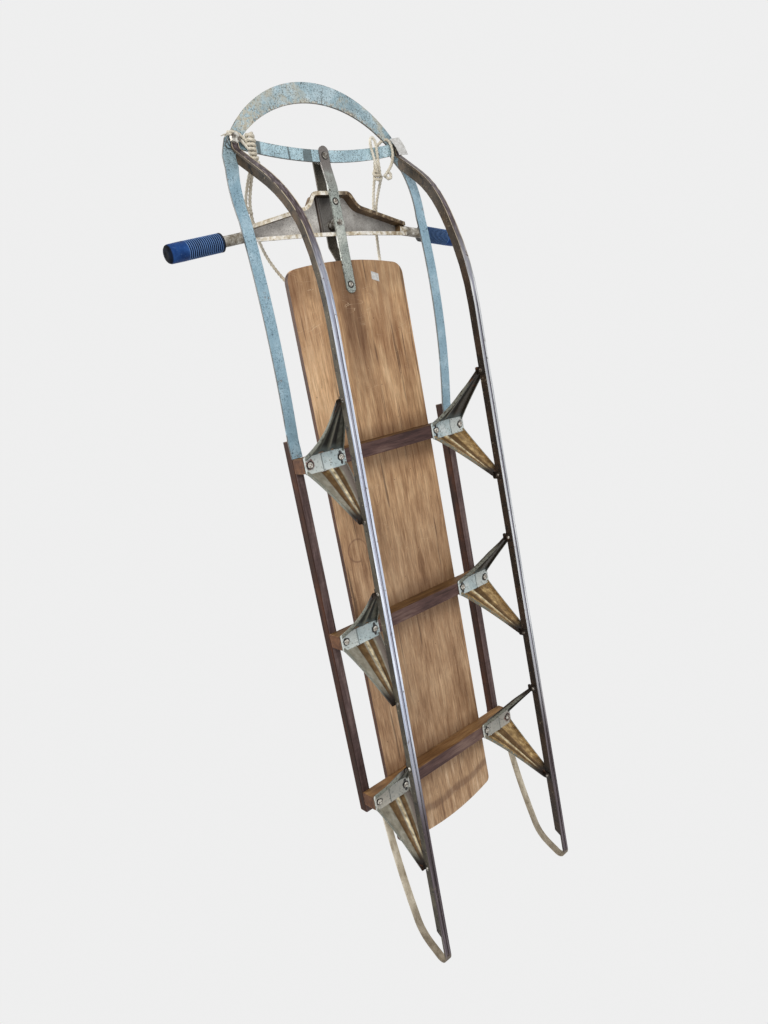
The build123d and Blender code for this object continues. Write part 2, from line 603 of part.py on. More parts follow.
def rope_lead(side_name):
    """Straight runs joined by arcs as large as the runs allow."""
    points = [Vector(*p) for p in LEADS[side_name]]
    radii = []
    for before, corner, after in zip(points, points[1:], points[2:]):
        first = corner - before
        second = after - corner
        turn = radians(first.get_angle(second))
        radii.append(0.45 * min(first.length, second.length) / tan(turn / 2))
    path = FilletPolyline(*points, radius=radii)
    section = Plane(origin=path @ 0, z_dir=path % 0) * Circle(ROPE_R)
    solid = sweep(section, path=path)
    share = solid.volume / (pi * ROPE_R ** 2 * path.length)
    print(side_name, "lead length", round(path.length), "volume", round(share, 4))
    print("    radii", [round(r) for r in radii])
    return solid


def rope_knot(side_name):
    """The rope's turns round the crossbar, as one closed ring."""
    knot_y = LEADS[side_name][0][1]
    end_y = CORNER_Y + CORNER_INSET
    bow_r = (end_y ** 2 + CROSS_BOW ** 2) / (2 * CROSS_BOW)
    knot_x = SPACER_X + bow_r - sqrt(bow_r ** 2 - knot_y ** 2)
    half_w = CROSS_W / 2 + ROPE_SEAT
    half_t = STRAP_T / 2 + ROPE_SEAT
    outer = Box(2 * (half_w + 2 * ROPE_R), 2 * ROPE_WRAPS * ROPE_R, 2 * (half_t + 2 * ROPE_R))
    outer = fillet(outer.edges().filter_by(Axis.Y), 1.8 * ROPE_R)
    inner = Box(2 * half_w, 3 * ROPE_WRAPS * ROPE_R, 2 * half_t)
    turn = -degrees(asin(knot_y / bow_r))
    return Pos(knot_x, knot_y, (CROSS_Z + HOOP_Z) / 2) * Rot(0, 0, turn) * (outer - inner)


def rope_coil():
    """The outer shape of the coiled middle of the rope, lying on the deck board."""
    half = COIL_TURNS * ROPE_R
    height = 2 * COIL_LAYERS * ROPE_R
    ring = Cylinder(COIL_R + half, height) - Cylinder(COIL_R - half, height)
    ring = chamfer(ring.edges().filter_by(GeomType.CIRCLE), 0.6 * ROPE_R)
    return Pos(COIL_X, 0, DECK_Z + DECK_T + ROPE_SEAT + height / 2) * ring


def build():
    nodes = {}
    for side_name, side in SIDES:
        nodes[f"runner_{side_name}"] = runner(side)
        for knee_name, x in KNEES:
            nodes[f"knee_{knee_name}_{side_name}"] = knee(x, side)
        nodes[f"side_rail_{side_name}"] = side_rail(side)
        nodes[f"side_strut_{side_name}"] = side_strut(side)
        nodes[f"grip_{side_name}"] = grip(side)
        nodes[f"corner_bolt_{side_name}"] = corner_bolt(side)
        nodes[f"rope_knot_{side_name}"] = rope_knot(side_name)
        nodes[f"rope_lead_{side_name}"] = rope_lead(side_name)
    for knee_name, x in KNEES:
        nodes[f"crossbeam_{knee_name}"] = crossbeam(x)
    nodes["deck_board"] = deck_board()
    nodes["bumper_hoop"] = bumper_hoop()
    nodes["front_crossbar"] = front_crossbar()
    nodes["centre_strap_lower"] = centre_strap_lower()
    nodes["centre_strap_upper"] = centre_strap_upper()
    nodes["steering_bar"] = steering_bar()
    nodes["pivot_bolt"] = pivot_bolt()
    nodes["spacer_bolt"] = spacer_bolt()
    nodes["rope_coil"] = rope_coil()
    return nodes


os.makedirs("parts", exist_ok=True)
for name, shape in build().items():
    export_step(shape, f"parts/{name}.step")
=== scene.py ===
import math

import bmesh
import bpy
from mathutils import Matrix, Vector


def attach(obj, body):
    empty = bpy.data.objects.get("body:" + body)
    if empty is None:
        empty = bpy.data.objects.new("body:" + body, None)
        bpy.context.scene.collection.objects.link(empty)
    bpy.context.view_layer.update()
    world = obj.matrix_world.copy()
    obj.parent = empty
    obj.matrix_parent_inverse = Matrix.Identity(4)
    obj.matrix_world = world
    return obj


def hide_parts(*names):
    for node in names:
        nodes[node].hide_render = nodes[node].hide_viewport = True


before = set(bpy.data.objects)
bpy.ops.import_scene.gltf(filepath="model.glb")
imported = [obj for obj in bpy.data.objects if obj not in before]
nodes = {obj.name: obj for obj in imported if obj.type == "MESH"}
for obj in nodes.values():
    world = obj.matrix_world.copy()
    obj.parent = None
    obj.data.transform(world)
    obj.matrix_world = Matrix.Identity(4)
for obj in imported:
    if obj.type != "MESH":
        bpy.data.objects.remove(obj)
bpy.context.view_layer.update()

# An old steerable sled with steel runners. Metres; +X to the nose, +Y to the rider's left, +Z up.

KNEE_X = {"front": 0.130, "mid": -0.144, "rear": -0.418}
KNEE_PITCH = 0.274
PLATE_Y = 0.127
PLATE_HALF = (0.0135, 0.037)    # along X and along Y
PLATE_UNDER = 0.0975
RIVET_APART = 0.028             # plate rivets, each way from the plate's centre
FOOT = (0.087, 0.017)           # from the knee's centre along X, and height
FOOT_TAB_T = 0.0025
TAB_X = FOOT[0] - FOOT_TAB_T    # from the knee's centre
CORNER = (0.582, 0.14796)       # the left corner bolt, from above
TOE = math.tan(math.radians(0.885))
FLARE = 0.0166
FLARE_X = (0.430, 0.575)        # where the runners' nose bends out
WEB_HALF = 0.0015
DECK_TOP = 0.137
DECK_HALF_Y = 0.111
RAIL_TOP = 0.1445
HOOP_CENTRE_X = 0.4475
HOOP_INNER_R = 0.192
STRAP_UNDER = 0.1245
ROPE_D = 0.0052
SIDES = (("left", 1), ("right", -1))


def tone(red, green, blue):
    """A colour as it looks on a screen, 0 to 255, in the renderer's own numbers."""
    def linear(value):
        value /= 255
        return value / 12.92 if value <= 0.04045 else ((value + 0.055) / 1.055) ** 2.4
    return linear(red), linear(green), linear(blue), 1.0


def smooth_step(t):
    """0 up to 0, 1 from 1 on, and a smooth rise between them."""
    t = min(max(t, 0), 1)
    return t * t * (3 - 2 * t)


def runner_y(x):
    """Middle of the left runner's line, seen from above."""
    bend = smooth_step((x - FLARE_X[0]) / (FLARE_X[1] - FLARE_X[0]))
    return CORNER[1] - FLARE * (1 - bend) + (CORNER[0] - x) * TOE


def operator(operation, reflected=False):
    """A method of Wire that adds the Math node of one of Python's operators."""
    if reflected:
        return lambda wire, other: wire.graph.maths(operation, other, wire)
    return lambda wire, other: wire.graph.maths(operation, wire, other)


class Wire:
    """What a socket gives. Arithmetic on it adds the Math nodes that work it out."""

    __add__, __radd__ = operator("ADD"), operator("ADD", True)
    __sub__, __rsub__ = operator("SUBTRACT"), operator("SUBTRACT", True)
    __mul__, __rmul__ = operator("MULTIPLY"), operator("MULTIPLY", True)
    __truediv__, __rtruediv__ = operator("DIVIDE"), operator("DIVIDE", True)
    __pow__ = operator("POWER")

    def __init__(self, graph, socket):
        self.graph = graph
        self.socket = socket

    def __abs__(self):
        return self.graph.maths("ABSOLUTE", self)

    def __neg__(self):
        return self * -1


class Graph:
    """A node tree under construction."""

    def __init__(self, tree):
        self.tree = tree

    def feed(self, socket, value):
        """Links a wire to a socket, or sets the socket to a constant."""
        if isinstance(value, Wire):
            self.tree.links.new(value.socket, socket)
        else:
            socket.default_value = value

    def put(self, kind, settings=None, values=None):
        """Adds a node of a type, with its settings first and then the values or links of its sockets."""
        node = self.tree.nodes.new(kind)
        for name, setting in (settings or {}).items():
            if name == "stops":
                ramp = node.color_ramp
                while len(ramp.elements) < len(setting):
                    ramp.elements.new(0.5)
                for element, (place, colour) in zip(ramp.elements, setting):
                    element.position = place
                    element.color = colour
            else:
                setattr(node, name, setting)
        for name, value in (values or {}).items():
            self.feed(node.inputs[name], value)
        return node

    def wire(self, kind, settings=None, values=None, output=0):
        return Wire(self, self.put(kind, settings, values).outputs[output])

    def maths(self, operation, *values):
        return self.wire("ShaderNodeMath", {"operation": operation}, dict(enumerate(values)))


class Paint(Graph):
    """A material. Its patterns read the row frame's coordinates, which every piece's mesh is in.

    A plain colour is its red, green and blue as they look on a screen, 0 to 255.
    """

    def __init__(self, name):
        self.material = bpy.data.materials.new(name)
        self.material.use_nodes = True
        super().__init__(self.material.node_tree)
        self.shader = self.tree.nodes["Principled BSDF"]
        place = self.put("ShaderNodeTexCoord")
        self.place = Wire(self, place.outputs["Object"])
        self.x, self.y, self.z = self.split(self.place)
        self.nx, self.ny, self.nz = self.split(Wire(self, place.outputs["Normal"]))

    def split(self, vector):
        node = self.put("ShaderNodeSeparateXYZ", values={0: vector})
        return [Wire(self, output) for output in node.outputs]

    def own_places(self):
        """The three numbers that a piece's mesh holds for each of its points."""
        return self.split(self.wire("ShaderNodeAttribute", {"attribute_name": "place"}, output="Vector"))

    def moved(self, stretch, shift):
        return self.wire("ShaderNodeMapping", values={
            "Vector": self.place, "Scale": stretch, "Location": shift})

    def noise(self, scale, detail=3, rough=0.55, stretch=(1, 1, 1), shift=(0, 0, 0), warp=0):
        return self.wire("ShaderNodeTexNoise", values={
            "Vector": self.moved(stretch, shift), "Scale": scale, "Detail": detail,
            "Roughness": rough, "Distortion": warp})

    def specks(self, scale, size, shift=(0, 0, 0)):
        """Round spots, 1 inside and 0 outside, of irregular size."""
        near = self.wire("ShaderNodeTexVoronoi", values={
            "Vector": self.moved((1, 1, 1), shift), "Scale": scale, "Randomness": 1.0})
        return self.between(near, size, size * 0.55)

    def between(self, value, low, high):
        """A smooth step from 0 at low to 1 at high."""
        if low > high:
            return 1 - self.between(value, high, low)
        return self.wire("ShaderNodeMapRange", {"interpolation_type": "SMOOTHSTEP"}, {
            0: value, 1: low, 2: high, 3: 0.0, 4: 1.0})

    def ramp(self, value, *stops):
        """Colours along a value, each given by its place and its red, green and blue."""
        stops = [(place, tone(*colour)) for place, *colour in stops]
        return self.wire("ShaderNodeValToRGB", {"stops": stops}, {0: value})

    def blend(self, factor, below, above):
        if isinstance(above, tuple):
            above = tone(*above)
        return self.wire("ShaderNodeMix", {"data_type": "RGBA"}, {0: factor, 6: below, 7: above}, 2)

    def coats(self, colour, *coats):
        """A colour with others laid over it in turn, each where its mask is 1."""
        for mask, above in coats:
            colour = self.blend(mask, colour, above)
        return colour

    def shade(self, colour, factor):
        """A colour times a number."""
        return self.wire("ShaderNodeVectorMath", {"operation": "SCALE"}, {0: colour, 3: factor})

    def largest(self, one, other):
        return self.maths("MAXIMUM", one, other)

    def far(self, one, other):
        """How far a point lies from the origin, from its two coordinates."""
        return self.maths("SQRT", one ** 2 + other ** 2)

    def past_knee(self):
        """How far along X a point lies from the middle of the nearest knee."""
        return self.maths("WRAP", self.x - KNEE_X["mid"], -KNEE_PITCH / 2, KNEE_PITCH / 2)

    def on_left(self):
        return self.between(self.y, -0.02, 0.02)

    def edge(self, reach):
        """1 on the edges of the piece, 0 on its faces."""
        rounded = self.wire("ShaderNodeBevel", {"samples": 6}, {"Radius": reach})
        sharp = Wire(self, self.put("ShaderNodeNewGeometry").outputs["Normal"])
        same = self.wire("ShaderNodeVectorMath", {"operation": "DOT_PRODUCT"}, {0: rounded, 1: sharp}, 1)
        return self.between(same, 0.995, 0.86)

    def relief(self, height, depth, strength=0.5):
        self.feed(self.shader.inputs["Normal"], self.wire("ShaderNodeBump", values={
            "Strength": strength, "Distance": depth, "Height": height}))

    def finish(self, **sockets):
        for name, value in sockets.items():
            self.feed(self.shader.inputs[name.replace("_", " ")], value)
        return self.material


def on_runner(p):
    """How far a point lies from the middle of its runner's line."""
    bend = p.between(p.x, *FLARE_X)
    middle = CORNER[1] - FLARE * (1 - bend) + (CORNER[0] - p.x) * TOE
    return abs(abs(p.y) - middle)


def worn_runner_steel():
    p = Paint("worn_runner_steel")
    across = on_runner(p)
    under = p.between(-p.nz, 0.35, 0.6)
    long_marks = p.noise(60, 4, 0.6, (0.12, 6, 3))
    blotch = p.noise(24, 4, 0.62, warp=0.4)
    pits = p.noise(260, 3, 0.6)
    nose = p.between(p.x, 0.33, 0.45)
    tail = p.between(p.x, -0.20, -0.44)
    strip = p.largest(p.between(p.x, -0.648, -0.660),
                      p.between(p.z, 0.022, 0.026) * p.between(p.x, -0.425, -0.432))
    web = p.coats(
        p.ramp(blotch, (0.28, 34, 28, 20), (0.45, 58, 52, 40), (0.6, 80, 74, 60), (0.74, 104, 92, 74)),
        (p.on_left(), p.ramp(blotch, (0.35, 26, 20, 14), (0.65, 60, 44, 30))),
        (nose, p.ramp(blotch, (0.3, 34, 28, 20), (0.5, 60, 50, 38), (0.68, 92, 74, 54))),
        (p.between(p.noise(70, 4, 0.7), 0.56, 0.64), (22, 17, 12)),
        (p.between(pits, 0.62, 0.72), (128, 118, 98)),
    )
    # a painted highlight: a cream line along both edges of the running face near the nose
    edge_highlight = p.between(across, 0.0042, 0.0052) * p.between(p.noise(120, 3, 0.6, (0.2, 1, 1)), 0.36, 0.48)
    groove = p.between(across, 0.0022, 0.0016)
    bright = p.coats(
        p.ramp(long_marks, (0.3, 150, 160, 182), (0.48, 192, 200, 216), (0.66, 240, 244, 250)),
        (p.on_left() * 0.7,
         p.ramp(long_marks, (0.3, 140, 140, 138), (0.48, 184, 184, 182), (0.66, 236, 236, 234))),
        # near the nose the running face is painted darker, as shade
        (nose, p.ramp(long_marks, (0.3, 56, 46, 44), (0.52, 90, 78, 80), (0.7, 146, 134, 140))),
        (tail, p.ramp(long_marks, (0.3, 44, 36, 38), (0.52, 80, 70, 74), (0.7, 132, 122, 128))),
        (edge_highlight * nose, (206, 192, 164)),
        (p.between(p.noise(90, 4, 0.7), 0.60, 0.70), (106, 94, 88)),
        (groove * (1 - nose) * (1 - tail) * 0.8, (140, 138, 154)),
    )
    worn = p.noise(50, 4, 0.6, (0.4, 1, 1))
    rust = p.coats(
        p.ramp(worn, (0.3, 132, 118, 96), (0.46, 182, 170, 148), (0.60, 214, 204, 184),
               (0.74, 236, 228, 212)),
        (p.between(p.x, -0.56, -0.66) * 0.7, p.ramp(worn, (0.35, 58, 48, 38), (0.6, 120, 106, 86))),
        (p.between(p.noise(220, 4, 0.7), 0.58, 0.68) * 0.6, (88, 70, 52)),
    )
    polished = under * (1 - strip)
    p.relief(long_marks * 0.4 + pits * 0.6, 0.0004)
    return p.finish(Base_Color=p.coats(web, (under, bright), (strip, rust)), Metallic=polished * 0.55 + 0.15,
                    Roughness=0.62 - polished * 0.24 + pits * 0.1)


def knee_paint():
    """Its piece says where a point lies: across a leg or the plate, down the leg, and on which of them."""
    p = Paint("aged_knee_paint")
    across, down, which = p.own_places()
    front = p.between(which, 0.4, 0.6)
    plate = p.between(abs(which), 0.6, 0.4)
    left = p.on_left()
    grime = p.noise(38, 5, 0.65, warp=0.5)
    fine = p.noise(320, 3, 0.6)
    streak = p.noise(150, 3, 0.6, (1, 1, 0.3))
    mottle = streak * 0.6 + grime * 0.4
    stain = streak * 0.5 + grime * 0.5
    in_flute = p.largest(p.between(abs(across - 0.12), 0.23, 0.17), p.between(abs(across + 0.47), 0.15, 0.10))
    from_ridge = abs(across + 0.22)
    # rear legs: yellowed coat, pale on the flanks, golden on the left knees partly as a painted reflection of
    # warm surroundings, brown in the flutes as painted shade, with a painted highlight along the ridge
    rear_leg = p.coats(
        p.ramp(mottle, (0.34, 118, 112, 98), (0.5, 144, 139, 124), (0.66, 172, 168, 154)),
        # golden on the left knees: partly the coat's own tone, partly a painted reflection of warm
        # surroundings
        (left * 0.85, p.ramp(mottle, (0.34, 104, 76, 40), (0.5, 158, 124, 72), (0.66, 222, 190, 130))),
        # painted shade in the flutes
        (in_flute, p.ramp(stain, (0.34, 74, 54, 24), (0.5, 98, 72, 38), (0.66, 134, 110, 72))),
        # painted highlight along the ridge
        (p.between(from_ridge, 0.10, 0.05),
         p.ramp(streak, (0.36, 150, 132, 102), (0.5, 204, 190, 158), (0.64, 244, 228, 190))),
        (p.between(across, -0.64, -0.72) * (1 - left), (128, 118, 110)),
    )
    # front legs: dull grey green, darker partly as painted shade since they face away from the light, painted
    # black in the flutes as shade, with a painted highlight along the ridge
    front_leg = p.coats(
        p.ramp(stain, (0.34, 46, 46, 38), (0.5, 76, 77, 67), (0.66, 112, 113, 103)),
        (left * 0.75, (46, 34, 22)),
        # painted black shade in the flutes
        (in_flute * p.between(down, 0.0, 0.16), (16, 15, 11)),
        # painted highlight along the ridge
        (p.between(from_ridge, 0.09, 0.04), (118, 116, 104)),
        (p.between(down, 0.16, 0.0) * 0.8, (96, 106, 106)),
    )
    legs = p.coats(
        rear_leg,
        (front, front_leg),
        # lighter folded edges on both kinds of leg: a painted highlight
        (p.between(abs(across), 0.965, 1.0) * p.between(fine, 0.36, 0.5), (120, 122, 112)),
        (p.between(down, 0.70, 0.92), (30, 21, 13)),
        (p.between(p.noise(85, 4, 0.7), 0.58, 0.68) * p.between(down, 0.4, 0.8), (92, 54, 28)),
    )
    # plate: pale blue-grey paint with a painted highlight on its rims, a crease line and its edge wall
    # painted dark as shade, stained round the two rivets
    along = p.past_knee()
    sideways = abs(p.y) - PLATE_Y
    beside_rivet = abs(sideways) - RIVET_APART
    chips = p.specks(210, 0.26) * p.between(p.noise(40, 3), 0.46, 0.58)
    # a dark line along a crease in the plate: painted shade
    crease = p.between(abs(sideways - 0.006 + (grime - 0.5) * 0.006), 0.0016, 0.0005)
    wobble = (p.noise(170, 3, 0.6) - 0.5) * 0.006
    to_rivet = p.far(along, beside_rivet)
    halo = p.between(to_rivet + wobble, 0.0068, 0.0056)
    lobe = p.far(abs(along) - 0.0072, beside_rivet * 1.25)
    lobe = p.between(lobe + wobble * 0.6, 0.0036, 0.0028) * p.between(sideways, 0.002, -0.002)
    rust = p.between(to_rivet + wobble * 1.6, 0.0092, 0.0062) * p.between(sideways, -0.002, 0.002)
    rust = rust * p.between(p.noise(9, 2, 0.5, shift=(2, 0, 5)), 0.40, 0.52)
    rim = p.between(p.largest(abs(along) / PLATE_HALF[0], abs(sideways) / PLATE_HALF[1]), 0.90, 0.95)
    paint = p.coats(
        p.ramp(grime, (0.3, 158, 176, 180), (0.48, 190, 206, 208), (0.66, 218, 226, 226)),
        (p.between(sideways, 0.004, 0.010) * 0.8, (208, 214, 210)),
        (p.between(p.x, -0.26, -0.31) * 0.6, (158, 142, 122)),
        (chips, (96, 84, 70)),
        (p.between(fine, 0.56, 0.68) * 0.6, (104, 112, 110)),
        (crease * 0.75, (88, 94, 92)),
        (rust, p.ramp(fine, (0.38, 66, 40, 30), (0.62, 134, 86, 70))),
        (p.largest(halo, lobe), (24, 20, 18)),
        # painted highlight on the plate's rims
        (rim * p.between(fine, 0.62, 0.46) * 0.7, (222, 226, 222)),
        # the plate's edge wall painted dark, as shade
        (p.between(p.z, 0.0982, 0.0990), (74, 66, 54)),
    )
    p.relief(grime * 0.3 + fine * 0.7 - chips * 0.8, 0.0005)
    return p.finish(Base_Color=p.blend(plate, legs, paint), Roughness=0.5 - plate * 0.08 + fine * 0.1,
                    Metallic=0.3 - plate * 0.3)


def plank(name, grain, faces, deep_grain=1.0, saw_marks=0.0):
    """Varnished, weathered hardwood. The grain runs along one axis; each facing has its own colours, and some
    facings are painted dark as shade.
    """
    p = Paint(name)

    def stretched(along, across=1):
        return tuple(along if axis == grain else across for axis in "xyz")

    rings = p.noise(46, 4, 0.6, stretched(0.16), warp=0.8)
    streaks = p.noise(170, 4, 0.65, stretched(0.09), (3, 1, 0), 0.3)
    fibres = p.noise(420, 3, 0.7, stretched(0.06))
    pores = p.noise(1100, 2, 0.6, stretched(0.05), (1, 5, 2))
    light = rings * 0.30 + streaks * 0.26 + fibres * 0.20 + p.noise(9, 4, 0.6) * 0.24
    looks = [(mask, p.ramp(light, (0.39, *dark), (0.5, *middle), (0.61, *pale)))
             for mask, dark, middle, pale in faces(p)]
    colour = p.coats(looks[0][1], *looks[1:])
    if saw_marks:
        steps = p.noise(240, 2, 0.5, stretched(1, 0.1))
        colour = p.shade(colour, 1 + (steps - 0.5) * saw_marks)
    colour = p.shade(colour, 1 + (pores - 0.5) * 1.1)
    crack = p.between(p.noise(120, 2, 0.5, stretched(0.05, 1.2), (0, 3, 0)), 0.64, 0.71)
    wear = p.edge(0.0022) * p.between(p.noise(55, 4, 0.6), 0.46, 0.62)
    colour = p.coats(colour, (crack * 0.6, (46, 28, 18)), (wear * 0.6, (172, 138, 106)))
    p.relief(fibres * 0.6 + rings * 0.4 - crack, 0.0006 * deep_grain, 0.6)
    return p, colour, fibres


def beam_faces(p):
    """For each facing its mask, dark, middle and pale colour. The first one is the ground for the others."""
    fore = p.between(p.nx, 0.5, 0.8)
    return [
        (None, (58, 34, 22), (88, 56, 36), (116, 80, 54)),
        (p.between(-p.nz, 0.5, 0.8), (52, 34, 32), (88, 64, 60), (126, 102, 92)),
        (fore, (72, 48, 26), (102, 74, 44), (140, 108, 70)),
        (fore * p.between(p.x, -0.25, -0.35), (90, 62, 36), (128, 94, 60), (162, 128, 88)),
    ]


def rail_faces(p):
    return [
        (None, (56, 32, 20), (84, 50, 32), (116, 76, 50)),
        (p.between(-p.nz, 0.5, 0.8), (62, 46, 44), (90, 72, 70), (124, 106, 102)),
        # the sides facing along Y are painted near black, as shade
        (p.between(abs(p.ny), 0.5, 0.8), (30, 16, 10), (52, 28, 17), (84, 48, 28)),
    ]


def deck_faces(p):
    brighter = p.between(p.x, 0.10, 0.34) * p.between(p.y, -0.02, -0.07)
    return [
        (None, (124, 88, 58), (170, 134, 100), (206, 172, 136)),
        (p.between(p.x, -0.10, 0.12), (138, 98, 64), (192, 152, 112), (228, 192, 150)),
        (brighter, (156, 116, 78), (216, 176, 134), (244, 210, 170)),
        (p.between(p.x, -0.43, -0.47), (128, 92, 62), (184, 148, 112), (224, 194, 160)),
        # the deck's side faces are painted dark, as shade
        (p.between(abs(p.ny), 0.5, 0.8), (50, 28, 16), (76, 46, 28), (108, 70, 44)),
    ]


def beam_wood():
    p, colour, fibres = plank("crossbeam_wood", "y", beam_faces)
    return p.finish(Base_Color=colour, Roughness=0.5 + fibres * 0.2, Specular_IOR_Level=0.25)


def rail_wood():
    p, colour, fibres = plank("side_rail_wood", "x", rail_faces, saw_marks=0.7)
    return p.finish(Base_Color=colour, Roughness=0.52 + fibres * 0.2, Specular_IOR_Level=0.2)


def deck_wood():
    p, colour, fibres = plank("deck_wood", "x", deck_faces, 1.2)
    under = p.between(-p.nz, 0.5, 0.8)
    cloud = p.noise(13, 4, 0.6, (0.5, 1, 1), (2, 6, 1))
    # the nose is redder and darker, with a dark streak behind the centre strap
    nose = under * p.between(p.x, 0.18, 0.38) * p.between(cloud, 0.44, 0.60)
    streak = p.between(abs(p.y + 0.004 + (p.noise(14, 3) - 0.5) * 0.02), 0.034, 0.010)
    streak = streak * p.between(p.x, 0.14, 0.36)
    # painted shadow on the tail side of each crossbeam
    along = p.past_knee() + (cloud - 0.5) * 0.03
    behind = p.between(along, -0.058, -0.024) * p.between(along, 0.04, 0.02)
    # a ring left by a can, and dirt along the tail
    ring = p.between(abs(p.far(p.x + 0.024, p.y + 0.082) - 0.018), 0.0020, 0.0008)
    ring = ring * p.between(p.noise(40, 3), 0.38, 0.52)
    side_y = p.y / DECK_HALF_Y
    tail_line = p.x + 0.549 - 0.015 * side_y * side_y - 0.040 + (p.noise(22, 3) - 0.5) * 0.016
    # scratches, curved near the nose
    swirl = p.noise(70, 1, 0.4, (0.6, 0.16, 1), (4, 2, 0), 2.2)
    scratch = p.between(abs(swirl - 0.5), 0.006, 0.002)
    scratch = scratch * p.between(p.noise(16, 3, shift=(5, 5, 0)), 0.50, 0.62)
    colour = p.coats(
        colour,
        (nose * 0.45, (118, 74, 46)),
        (under * streak * 0.65, (88, 58, 40)),
        # painted shadow behind each crossbeam
        (under * behind * 0.35, (96, 66, 44)),
        (under * ring * 0.6, (118, 84, 62)),
        (under * p.between(abs(tail_line), 0.011, 0.003) * 0.55, (104, 72, 52)),
        (under * scratch * (0.25 + p.between(p.x, 0.22, 0.36) * 0.4), (222, 194, 160)),
        (p.specks(60, 0.055, (7, 1, 0)), (58, 36, 22)),
        (p.between(p.noise(300, 3, 0.7), 0.62, 0.72) * 0.45, (96, 66, 46)),
    )
    return p.finish(Base_Color=colour, Roughness=0.46 + fibres * 0.22, Specular_IOR_Level=0.35)


def old_paint(name, dark, middle, pale, chip, pepper=0.8):
    """Thin brushed paint on strap steel, speckled and worn through at its edges."""
    p = Paint(name)
    cloud = p.noise(26, 5, 0.65, warp=0.4)
    fine = p.noise(430, 3, 0.65)
    grit = p.noise(760, 3, 0.75, shift=(2, 3, 4))
    grains = p.noise(520, 3, 0.6, shift=(6, 2, 9))
    dust = p.between(grains, 0.46, 0.40) * (0.35 + 0.65 * p.between(p.noise(44, 4, 0.6), 0.36, 0.56))
    flakes = p.specks(95, 0.2, (3, 8, 0)) * p.between(p.noise(22, 3), 0.50, 0.62)
    worn = p.edge(0.0016) * p.between(p.noise(150, 4, 0.6), 0.42, 0.54)
    colour = p.ramp(cloud, (0.3, *dark), (0.5, *middle), (0.68, *pale))
    colour = p.coats(
        p.shade(colour, 1 + (fine - 0.5) * 0.8),
        (p.between(grit, 0.56, 0.66) * 0.7, pale),
        (dust * pepper, chip),
        (flakes, (60, 46, 34)),
        (worn, (66, 54, 42)),
    )
    p.relief(fine - dust * 0.6 - flakes, 0.0004)
    return p, colour, fine


def blue_paint():
    p, colour, fine = old_paint(
        "old_blue_paint", (132, 156, 166), (156, 182, 192), (196, 216, 224), (66, 74, 72), 0.85)
    # struts are bluer, and the front bar is lighter, with thin dark lines across it
    strut = p.between(p.x, 0.56, 0.52) * p.between(abs(p.y), 0.12, 0.135)
    bar = p.between(p.x, 0.592, 0.586) * p.between(abs(p.y), 0.136, 0.128) * p.between(-p.nz, 0.4, 0.7)
    lines = p.between(p.noise(60, 1, 0.4, (0.05, 1, 0.05), (0, 9, 0)), 0.66, 0.68)
    # the hoop is yellowed, and chipped along its inner edge
    hoop = p.between(p.x, 0.592, 0.600)
    from_inner_edge = p.far(p.x - HOOP_CENTRE_X, p.y) - HOOP_INNER_R
    chipped = p.between(from_inner_edge, 0.008, 0.001) * p.between(p.noise(190, 4, 0.7), 0.46, 0.56)
    yellowed = p.between(p.noise(30, 4, 0.6, shift=(1, 1, 0)), 0.46, 0.62) * 0.6
    right = p.between(p.y, -0.05, -0.13) * p.between(p.noise(110, 4, 0.7), 0.40, 0.56) * 0.8
    yellowed = p.largest(yellowed, right)
    rusty = p.between(p.noise(120, 4, 0.75, shift=(5, 0, 0)), 0.60, 0.68)
    rusty = rusty * p.between(p.noise(18, 3), 0.48, 0.6)
    # the edges and upper faces are bare brown steel
    bare = p.between(-p.nz, 0.6, 0.35) * p.between(p.noise(30, 4, 0.6), 0.30, 0.44)
    colour = p.coats(
        p.shade(p.blend(strut * 0.35, colour, (130, 176, 204)), 1 + bar * 0.32),
        (hoop * yellowed, (192, 182, 158)),
        (hoop * chipped * 0.8, p.ramp(fine, (0.4, 92, 74, 54), (0.6, 222, 214, 196))),
        (rusty * 0.7, (118, 90, 66)),
        (bar * lines * 0.8, (70, 78, 78)),
        (bare * 0.85, p.ramp(fine, (0.35, 36, 30, 24), (0.65, 92, 84, 72))),
    )
    return p.finish(Base_Color=colour, Roughness=0.42 + fine * 0.14, Metallic=0.0)


def strap_steel():
    p, colour, fine = old_paint(
        "galvanised_strap", (140, 148, 144), (170, 178, 171), (204, 208, 200), (74, 76, 72))
    front = p.between(p.x, 0.50, 0.56) * p.between(p.noise(34, 4), 0.34, 0.5)
    colour = p.blend(front * 0.85, colour, (108, 98, 96))
    for hole_x in (0.3779, 0.4988, 0.5649):
        colour = p.blend(p.between(p.far(p.x - hole_x, p.y), 0.0062, 0.0052), colour, (44, 40, 36))
    return p.finish(Base_Color=colour, Roughness=0.38 + fine * 0.18, Metallic=0.35)


def upper_strap_steel():
    # the upper strap is painted near black, as shade, where it lies behind the lower strap
    p, colour, fine = old_paint("dark_strap", (34, 30, 24), (56, 52, 44), (86, 80, 68), (110, 104, 92))
    return p.finish(Base_Color=colour, Roughness=0.5 + fine * 0.18, Metallic=0.3)


